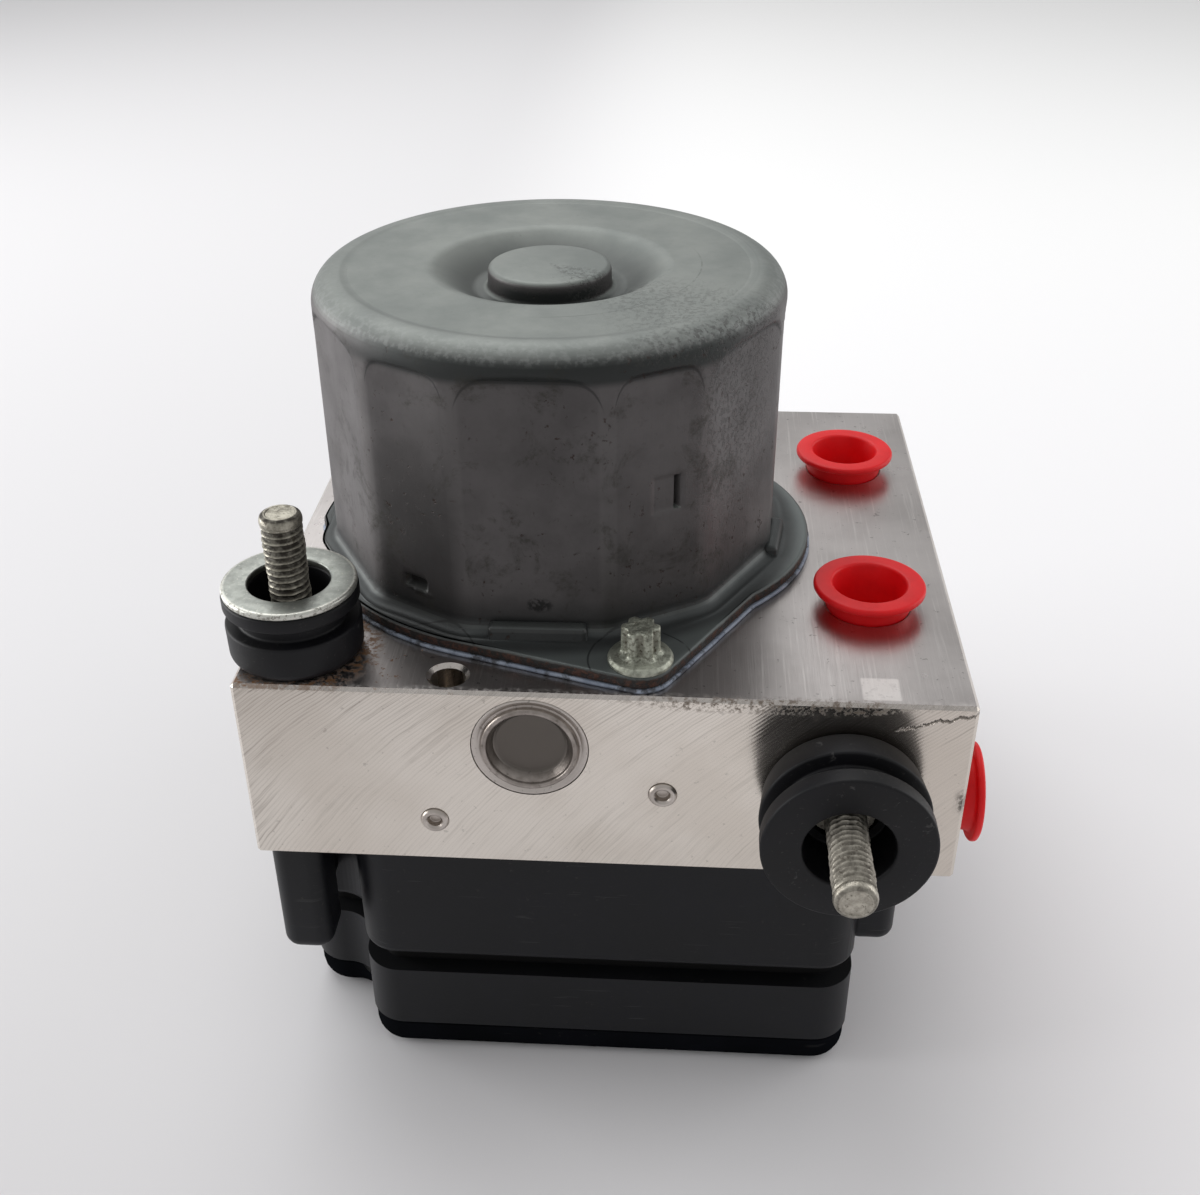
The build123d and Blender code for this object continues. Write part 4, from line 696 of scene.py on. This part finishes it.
def canGrid():
    # finer steps round the pressed details
    degrees = np.unique(np.concatenate([
        np.arange(0, 360, 1.0), np.arange(234, 248, 0.4), np.arange(269, 274, 0.4), np.arange(297, 308, 0.3),
    ]).round(2))
    # the shoulder is a quarter circle on top of the cylinder, cut by the flats like the wall below
    bend = np.radians(np.linspace(90, 0, 13))[:-1]
    middle = level["canTop"] - can["shoulder"]
    heights = np.concatenate([
        middle + can["shoulder"] * np.sin(bend), np.linspace(middle, 114.6, 30),
        np.linspace(114.0, 103.0, 16), np.linspace(102.7, 96.4, 28),
        np.linspace(95.8, 85.6, 12), np.linspace(85.3, can["baseTop"], 22),
    ])
    around = np.full(len(heights), can["round"])
    around[:len(bend)] -= can["shoulder"] * (1 - np.cos(bend))
    side = wallRadius(degrees[None], heights[:, None], around[:, None])
    # the end: boss, bowl, a flat ring and a slightly raised outer ring
    end = roundOff(
        [(0, 122.25), (9.2, 122.25), (9.3, 118.9), (11.4, 118.9),
         (17.6, 122.42), (29.8, 122.34), (30.9, 122.5), (31.4, 122.5)],
        [0, 0.9, 0.7, 2.2, 4.0, 0.8, 0.8, 0], 7, closed=False,
    )
    # base fillet with a low bead at its foot, the flange and its rounded edge
    foot = wallRadius(degrees, np.full(len(degrees), can["baseTop"]))
    rim = flangeRadius(degrees)
    quarter = np.radians(np.linspace(0, 90, 7))[:, None]
    fillet = can["baseFillet"]
    filletRadius = foot + fillet * (1 - np.cos(quarter))
    filletHeight = level["flangeTop"] + fillet * (1 - np.sin(quarter)) + 0.16
    room = np.maximum(rim - foot - fillet, 0.6)
    share = np.array([0.1, 0.18, 0.28, 0.6, 0.85])[:, None]
    drop = np.array([0.2, 0.1, 0.0, 0.0, 0.0])[:, None]
    flatRadius = foot + fillet + room * share
    edge = np.array([(-0.5, 0.0), (-0.2, -0.07), (0, -0.35), (0, -0.9), (0, -1.5), (-0.25, -1.8)])
    # the inside of the shell, from the gasket up
    inside = np.array([
        (31.6, level["flangeBottom"]), (31.6, 90.0), (31.6, 114.0), (33.0, 116.0), (33.0, 118.5),
        (31.0, 120.5), (19.5, 120.5), (10.0, 117.2), (7.4, 117.2), (7.4, 120.5), (0, 120.5),
    ])
    return rings(
        degrees, (end[:, :1], end[:, 1:]), (side, heights[:, None]), (filletRadius, filletHeight),
        (flatRadius, level["flangeTop"] + drop), (rim + edge[:, :1], level["flangeTop"] + edge[:, 1:]),
        (inside[:, :1], inside[:, 1:]),
    )


def slab(place, width, depth, radius, profile):
    # a rounded rectangle standing on a plane, one ring for each (inset, height)
    origin, across, axis = (np.asarray(v, float) for v in place)
    other = np.cross(axis, across)
    corners = np.array([(-width, -depth), (width, -depth), (width, depth), (-width, depth)]) / 2
    flat = walls(corners, radius, profile, 5)
    return origin + flat[..., :1] * across + flat[..., 1:2] * other + flat[..., 2:] * axis


# two locating bars on the flange, each sunk a little into it: angle, distance out, sizes
locator = {"sunk": 0.3, "corner": 0.9, "bars": ((270.8, 35.1, 14.4, 2.8, 2.1), (351.5, 35.7, 10.5, 2.6, 1.7))}
canParts = [canGrid()]
for angle, out, width, depth, height in locator["bars"]:
    turnTo = math.radians(angle)
    outwards = np.array([math.cos(turnTo), math.sin(turnTo), 0])
    origin = outwards * out + [0, 0, level["flangeTop"] - locator["sunk"]]
    place = (origin, (-outwards[1], outwards[0], 0), (0, 0, 1))
    tall = height + locator["sunk"]
    barProfile = [(-0.3, 0), (0, 0.45), (0.1, tall - 0.7), (0.32, tall - 0.2), (0.8, tall)]
    canParts.append(grid(slab(place, width, depth, locator["corner"], barProfile), caps=(0, -1)))
makePiece("motorCan", "motor_can", *canParts, sharp=48)
print("motor can ready")


# gasket: its rounded edge shows just past the flange, with a faint ripple round it
gasket = {"inner": 31.2, "bottom": 0.03, "top": 0.59, "ripple": 0.03, "ripples": 40}
gasketDegrees = np.arange(0, 360, 1.0)
gasketRipple = gasket["ripple"] * np.sin(np.radians(gasketDegrees) * gasket["ripples"])
gasketEdge = np.array([
    (-0.1, gasket["bottom"]), (0.22, 0.06), (0.36, 0.3), (0.22, 0.56), (-0.1, gasket["top"]),
])
gasketGrid = rings(
    gasketDegrees, (gasket["inner"], level["blockTop"] + gasket["bottom"]),
    (flangeRadius(gasketDegrees) + gasketRipple + gasketEdge[:, :1], level["blockTop"] + gasketEdge[:, 1:]),
    (gasket["inner"], level["blockTop"] + gasket["top"]), loop=True,
)
makePiece("motorGasket", "motor_gasket", gasketGrid, sharp=60)


# motor screws: an outside six-lobe head on a pressed washer
screw = {"head": 2.45, "lobe": 0.34, "headBottom": 1.35, "washer": 4.65, "length": 8.0}


def sixLobes(radius, height, angle):
    # six waves round the head, clipped flat at their crests and troughs
    onHead = np.clip((height - screw["headBottom"]) / 0.3, 0, 1)
    wave = np.clip(1.3 * np.cos(6 * angle) + 0.35, -1, 1)
    return radius + onHead * wave * screw["lobe"] * np.clip(radius / screw["head"], 0, 1), height


screwProfile = roundOff(
    [(0, 5.62), (1.0, 5.6), (1.5, 5.7), (2.4, 5.6), (screw["head"], 1.75), (3.3, 1.3), (4.3, 1.05),
     (screw["washer"], 0.55), (screw["washer"], 0.05), (screw["head"], 0.05),
     (screw["head"], -screw["length"]), (0, -screw["length"])],
    [0, 0.4, 0.4, 0.35, 0.35, 0.5, 0.35, 0.2, 0.1, 0, 0, 0], 4, closed=False,
)
screwGrids = []
for degrees in can["lobeAngles"]:
    turnTo = math.radians(degrees)
    seat = (can["lobeCircle"] * math.cos(turnTo), can["lobeCircle"] * math.sin(turnTo), level["flangeTop"])
    screwGrids.append(turned((seat, (1, 0, 0), (0, 0, 1)), screwProfile, 72, sixLobes))
makePiece("motorScrews", "motor_screws", *screwGrids, look=screwSteel(), sharp=50)


# mounting studs: a rolled thread over a hexagonal collar
stud = {"radius": 3.0, "pitch": 1.0, "depth": 0.5, "threadEnd": 21.2, "collar": 5.0, "collarTop": 4.0}


def threaded(radius, height, angle):
    # the crest climbs one pitch in each turn; it fades at both ends and is worn unevenly
    phase = (height / stud["pitch"] - angle / (2 * np.pi)) % 1
    groove = np.clip(np.abs(phase - 0.5) * 2.5 - 0.25, 0, 1)
    fade = np.clip((stud["threadEnd"] - height) / 0.8, 0, 1)
    fade = fade * np.clip((height - stud["collarTop"]) / 0.6, 0, 1)
    worn = 0.05 * np.sin(height * 1.7 + 2 * np.sin(angle)) + 0.05 * np.sin(height * 0.6 + angle * 2)
    onShank = (radius > stud["radius"] - 0.1) & (height > stud["collarTop"])
    radius = radius - onShank * fade * (stud["depth"] * (1 - groove) + worn * groove + 0.04)
    twelfth = math.pi / 6
    hexagon = stud["collar"] * math.cos(twelfth) / np.cos((angle + twelfth) % (2 * twelfth) - twelfth)
    onCollar = (radius > stud["radius"] + 0.2) & (height <= stud["collarTop"])
    return np.where(onCollar, np.minimum(radius, hexagon), radius), height


shankHeights = np.arange(4.3, 21.6, 0.1)
studProfile = np.concatenate([
    [(0, -9.5), (2.6, -9.5), (stud["radius"], -9.0), (stud["radius"], 0.02), (4.98, 0.02), (4.98, 3.7),
     (4.6, 3.98), (3.05, stud["collarTop"])],
    np.column_stack([np.full(len(shankHeights), stud["radius"]), shankHeights]),
    roundOff([(3.0, 21.5), (2.85, 22.1), (2.2, 22.5), (1.95, 22.3), (1.5, 22.35), (0, 22.4)],
             [0, 0.5, 0.3, 0.1, 0.2, 0], 3, closed=False),
])
for name, place, node, steel in (
    ("studTop", topStud, "mount_stud_top",
     studSteel("studTopSteel", topStud, 1.0, "b5b1a4", "807c71")),
    ("studFront", frontStud, "mount_stud_front",
     studSteel("studFrontSteel", frontStud, 0.5, "bfbaae", "948f85")),
):
    makePiece(name, node, turned(place, studProfile, 64, threaded), look=steel, sharp=42)
print("screws and studs ready")


# rubber mounts: two bodies with a groove between them, bored for the stud
def mountProfile(radius, foot, bore, groove, lip, height, deep):
    return roundOff(
        [(5.06, 0.02), (foot - 1.0, 0.02), (foot, 1.2), (radius, groove),
         (radius - deep, groove + 0.15), (radius - deep, lip - 0.15), (radius, lip),
         (radius, height), (bore, height), (bore, 4.05), (5.06, 4.05)],
        [0, 1.6, 1.4, 0.4, 0.4, 0.4, 0.4, 0.4, 0.45, 0.3, 0], 4,
    )


for name, place, node, profile in (
    ("mountTop", topStud, "mount_rubber_top", mountProfile(9.7, 9.6, 5.85, 6.0, 8.6, 10.7, 1.9)),
    ("mountFront", frontStud, "mount_rubber_front", mountProfile(12.1, 11.4, 6.35, 6.1, 9.4, 12.3, 2.3)),
):
    makePiece(name, node, turned(place, profile, 128, loop=True))
washerProfile = roundOff([(5.85, 10.7), (9.55, 10.7), (9.6, 11.7), (5.85, 11.7)], [0.15, 0.3, 0.4, 0.3], 4)
washerSteel = zincSteel("washerSteel", "9fa29c", "888b86", 8.9)
makePiece("mountWasher", "mount_washer", turned(topStud, washerProfile, 128, loop=True), look=washerSteel)
print("mounts ready")


# port plugs: thin cups with a pull-out flange
masterPlug = {"bore": 5.6, "mouth": 6.6, "flange": 8.4, "lift": 2.7, "thickness": 1.1, "depth": 9.0}
wheelPlug = dict(masterPlug, bore=4.6, mouth=5.7, flange=7.5)
masterPort = {"x": 49.2, "y": -19.7, "step": 45.8}
wheelPort = {"y": -36.0, "z": 54.1, "step": 25.5}


def plugProfile(plug):
    bore, mouth, flange, lift = plug["bore"], plug["mouth"], plug["flange"], plug["lift"]
    top = lift + plug["thickness"]
    return roundOff(
        [(0, -plug["depth"]), (bore - 0.6, -plug["depth"]), (bore - 0.2, -2.0), (mouth - 0.2, 0.0),
         (mouth + 0.3, lift), (flange, lift), (flange, top), (bore, top), (bore - 0.7, 0), (bore - 1.2, -2.0),
         (bore - 1.6, 1.0 - plug["depth"]), (0, 1.0 - plug["depth"])],
        [0, 0.6, 0.5, 0.8, 0.4, 0.4, 0.5, 0.5, 1.0, 1.0, 0.5, 0], 4, closed=False,
    )


def makePlug(node, place, plug):
    name = node.replace("_port_plug_", "PortPlug")
    makePiece(name, node, turned(place, plugProfile(plug), 96), body=node + "_body")


for number in range(2):
    origin = (masterPort["x"], masterPort["y"] + masterPort["step"] * number, level["blockTop"])
    makePlug(f"master_port_plug_{number + 1}", (origin, (1, 0, 0), (0, 0, 1)), masterPlug)
for number in range(4):
    origin = (block["right"], wheelPort["y"] + wheelPort["step"] * number, wheelPort["z"])
    makePlug(f"wheel_port_plug_{number + 1}", (origin, (0, 1, 0), (1, 0, 0)), wheelPlug)
print("port plugs ready")


# pump bore plugs: a raised rounded ring round a sunk flat disc, swaged in at its edge;
# expander plugs are small proud rings
pumpPlug = roundOff(
    [(0, -1.3), (4.9, -1.3), (5.35, -1.0), (6.05, 0.1), (6.25, 0.7), (6.95, 0.6), (7.1, -0.2), (7.4, -0.25),
     (8.15, 0.1), (8.36, -0.05), (8.44, -0.5), (8.44, -5.9), (0, -5.9)],
    [0, 0.3, 0.3, 0.4, 0.5, 0.5, 0.15, 0.2, 0.3, 0.15, 0.1, 0.1, 0], 4, closed=False,
)
swaged = swagedSteel()
for name, node, place in (
    ("pumpPlugFront", "pump_plug_front", ((0, block["front"], level["pumpAxis"]), (1, 0, 0), (0, -1, 0))),
    ("pumpPlugBack", "pump_plug_back", ((0, block["back"], level["pumpAxis"]), (1, 0, 0), (0, 1, 0))),
):
    makePiece(name, node, turned(place, pumpPlug, 128), look=swaged)
expander = roundOff(
    [(0, -0.55), (0.95, -0.6), (1.0, 0.25), (1.35, 0.6), (1.8, 0.55), (2.06, 0.2), (2.08, -3.4), (0, -3.4)],
    [0, 0.15, 0.3, 0.3, 0.3, 0.3, 0.1, 0], 4, closed=False,
)
expanderGrids = [
    turned(((x, y, z), (1, 0, 0), (0, outwards, 0)), expander, 48)
    for y, outwards in ((block["front"], -1), (block["back"], 1)) for x, z in ((-14.4, 53.3), (19.0, 59.5))
]
expanderSteel = turnedSteel("expanderSteel", "cfc7c0", "aaa29b", 0.26)
makePiece("expanderPlugs", "expander_plugs", *expanderGrids, look=expanderSteel)
print("small plugs ready")


# moulded control unit: the housing's edges are softened; the lid's sides round into its bottom
unit = {
    "corner": 6.0, "bottom": 5.2, "lidSeam": 6.5, "softEdge": 0.5, "footRound": 1.6, "near": 0.4,
    "grooveInset": 1.2, "grooveDeep": 3.0, "grooveBottom": 18.5, "grooveTop": 22.0,
}
# the box with the connector at its back and the wing at its left, counter-clockwise
unitCorners = [
    (-29.2, -43.0), (50.3, -43.0), (50.3, 76.0), (-14.7, 76.0), (-14.7, 52.0), (-29.2, 52.0),
    (-29.2, 36.0), (-41.5, 36.0), (-41.5, -30.0), (-29.2, -30.0),
]


def unitOutline(inset):
    return insetOutline(unitCorners, unit["corner"], inset, 24)


def nearOutline(mesh, inset):
    # every vertex in millimetres, its nearest point on the inset outline, and whether it is near
    places = np.empty(len(mesh.vertices) * 3)
    mesh.vertices.foreach_get("co", places)
    places = places.reshape(-1, 3) / mm
    gap = np.linalg.norm(places[:, None, :2] - unitOutline(inset)[None], axis=2)
    return places, gap.argmin(axis=1), gap.min(axis=1) < unit["near"]


def rounded(piece, name, width, segments):
    bevel = piece.modifiers.new(name, "BEVEL")
    bevel.width = width * mm
    bevel.segments = segments
    return bevel


housingMesh = frame["nodes"]["unit_housing"].data.copy()
work = bmesh.new()
work.from_mesh(housingMesh)
bmesh.ops.remove_doubles(work, verts=work.verts, dist=1e-6)
bmesh.ops.dissolve_limit(work, angle_limit=math.radians(2), verts=work.verts, edges=work.edges)
work.to_mesh(housingMesh)
work.free()
housingMesh.materials.clear()
# the groove's wall moves further in
places, nearest, near = nearOutline(housingMesh, unit["grooveInset"])
heights = places[:, 2]
inGroove = near & (heights > unit["grooveBottom"] - 0.1) & (heights < unit["grooveTop"] + 0.1)
inwards = unitOutline(unit["grooveDeep"]) - unitOutline(unit["grooveInset"])
places[inGroove, :2] += inwards[nearest[inGroove]]
# the wall's lower rim is bevelled up to the lid's seam
onRim = nearOutline(housingMesh, 0.0)[2] & (np.abs(heights - unit["bottom"]) < 0.05)
places[onRim, 2] = unit["lidSeam"]
housingMesh.vertices.foreach_set("co", (places * mm).ravel())
housing = finishPiece("unitHousing", "unit_housing", housingMesh, sharp=30)
# the wall's foot above the groove is rounded first, then every other edge
places, nearest, near = nearOutline(housingMesh, 0.0)
foot = housing.vertex_groups.new(name="wallFoot")
onFoot = near & (np.abs(places[:, 2] - unit["grooveTop"]) < 0.05)
foot.add(np.flatnonzero(onFoot).tolist(), 1.0, "REPLACE")
footBevel = rounded(housing, "wallFoot", unit["footRound"], 5)
footBevel.limit_method = "VGROUP"
footBevel.vertex_group = "wallFoot"
edgeBevel = rounded(housing, "softEdges", unit["softEdge"], 2)
edgeBevel.limit_method = "ANGLE"
edgeBevel.angle_limit = math.radians(40)

lidProfile = [
    (5.0, 5.1), (2.2, 5.1), (0.9, 5.75), (0.55, 5.85), (0.35, 5.7), (0.3, 5.3), (0.3, 3.4), (0.45, 2.4),
    (0.85, 1.5), (1.5, 0.75), (2.4, 0.2), (3.4, 0.0), (6.0, 0.0),
]
lidWalls = walls(unitCorners, unit["corner"], lidProfile, 8)
lidPlastic = mouldedPlastic("lidPlastic", 0.0, "0e0f11", "131418")
makePiece("unitLid", "unit_lid", grid(lidWalls, caps=(0, -1)), look=lidPlastic, sharp=30)
print("control unit ready")


# accumulator springs, which shorten as their pistons move: each becomes a piece of its own with a copy of its
# mesh; the share of its length left at full stroke is worked out and not used
for side in ("front", "back"):
    node = "accumulator_spring_" + side
    joint = "accumulator_" + side + "_stroke"
    lowest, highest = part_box(node)
    coilMesh = frame["nodes"][node].data.copy()
    coilMesh.materials.clear()
    coil = finishPiece("accumulatorSpring" + side.capitalize(), node, coilMesh)
    length = highest[0] - lowest[0]
    stroke = max(next(row for row in frame["joints"] if row["name"] == joint)["range_m"])
    (length - stroke) / length
    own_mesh(coil)
print("springs ready")


# pale floor, soft light and the camera
studio = {
    "nearLeft": "b9b6b8", "nearRight": "dddadc", "farLeft": "dedddf", "farRight": "f5f4f6",
    "farther": "fcfcfc", "world": 0.5, "worldSeen": 0.82,
    "keyPower": 5.2, "leftPower": 5.8, "rightPower": 1.6,
    "cameraPlace": (20.42, -206.18, 192.16), "cameraTurn": (58.188, 0.2913, 3.4867), "lens": 42.94,
}


def floorFinish():
    made = Finish("paleFloor")
    # the floor is painted darker near the camera and on the left, a painted shade for the light's fall-off, and
    # white far off
    depth = made.step(made.y, -320.0, 40.0)
    toRight = made.step(made.x, -90.0, 60.0)
    near = made.mix(toRight, studio["nearLeft"], studio["nearRight"])
    far = made.mix(toRight, studio["farLeft"], studio["farRight"])
    made.colour = made.mix(depth, near, far)
    farther = made.step(made.y, 60.0, 500.0) * (0.2 + 0.8 * toRight)
    made.paint(farther, studio["farther"])
    made.paint(made.step(made.y, -380.0, -800.0), studio["farther"])
    return made.close(0.6, 0.0)


floorMesh = bpy.data.meshes.new("floor")
floorMesh.from_pydata([(-4, -3, 0), (4, -3, 0), (4, 5, 0), (-4, 5, 0)], [], [(0, 1, 2, 3)])
floorMesh.materials.append(floorFinish())
floor = bpy.data.objects.new("floor", floorMesh)
bpy.context.collection.objects.link(floor)


def areaLight(name, place, target, size, power):
    lamp = bpy.data.lights.new(name, "AREA")
    lamp.shape = "RECTANGLE"
    lamp.size, lamp.size_y = size
    lamp.energy = power
    made = bpy.data.objects.new(name, lamp)
    bpy.context.collection.objects.link(made)
    made.location = np.array(place) * mm
    aim = Vector(np.array(target) * mm) - made.location
    made.rotation_euler = aim.to_track_quat("-Z", "Y").to_euler()


areaLight("keyLight", (-250, 480, 880), (0, 0, 60), (0.9, 0.9), studio["keyPower"])
areaLight("leftLight", (-850, 60, 190), (0, 0, 80), (0.7, 0.5), studio["leftPower"])
areaLight("rightLight", (800, 250, 300), (0, 0, 80), (0.6, 0.5), studio["rightPower"])
world = bpy.data.worlds.new("studio")
bpy.context.scene.world = world
world.use_nodes = True
background = world.node_tree.nodes["Background"].inputs
background["Color"].default_value = (1, 1, 1, 1)
# seen directly, the world is as pale as the floor
rays = world.node_tree.nodes.new("ShaderNodeLightPath")
strength = world.node_tree.nodes.new("ShaderNodeMapRange")
strength.inputs["To Min"].default_value = studio["world"]
strength.inputs["To Max"].default_value = studio["worldSeen"]
world.node_tree.links.new(rays.outputs["Is Camera Ray"], strength.inputs["Value"])
world.node_tree.links.new(strength.outputs["Result"], background["Strength"])

camera = bpy.data.objects.new("camera", bpy.data.cameras.new("camera"))
bpy.context.collection.objects.link(camera)
camera.data.sensor_width = 36.0
camera.data.sensor_fit = "HORIZONTAL"
camera.data.lens = studio["lens"]
camera.data.clip_start = 0.01
camera.location = np.array(studio["cameraPlace"]) * mm
camera.rotation_euler = np.radians(studio["cameraTurn"])
bpy.context.scene.camera = camera
bpy.context.scene.view_settings.view_transform = "Standard"
print("studio ready")
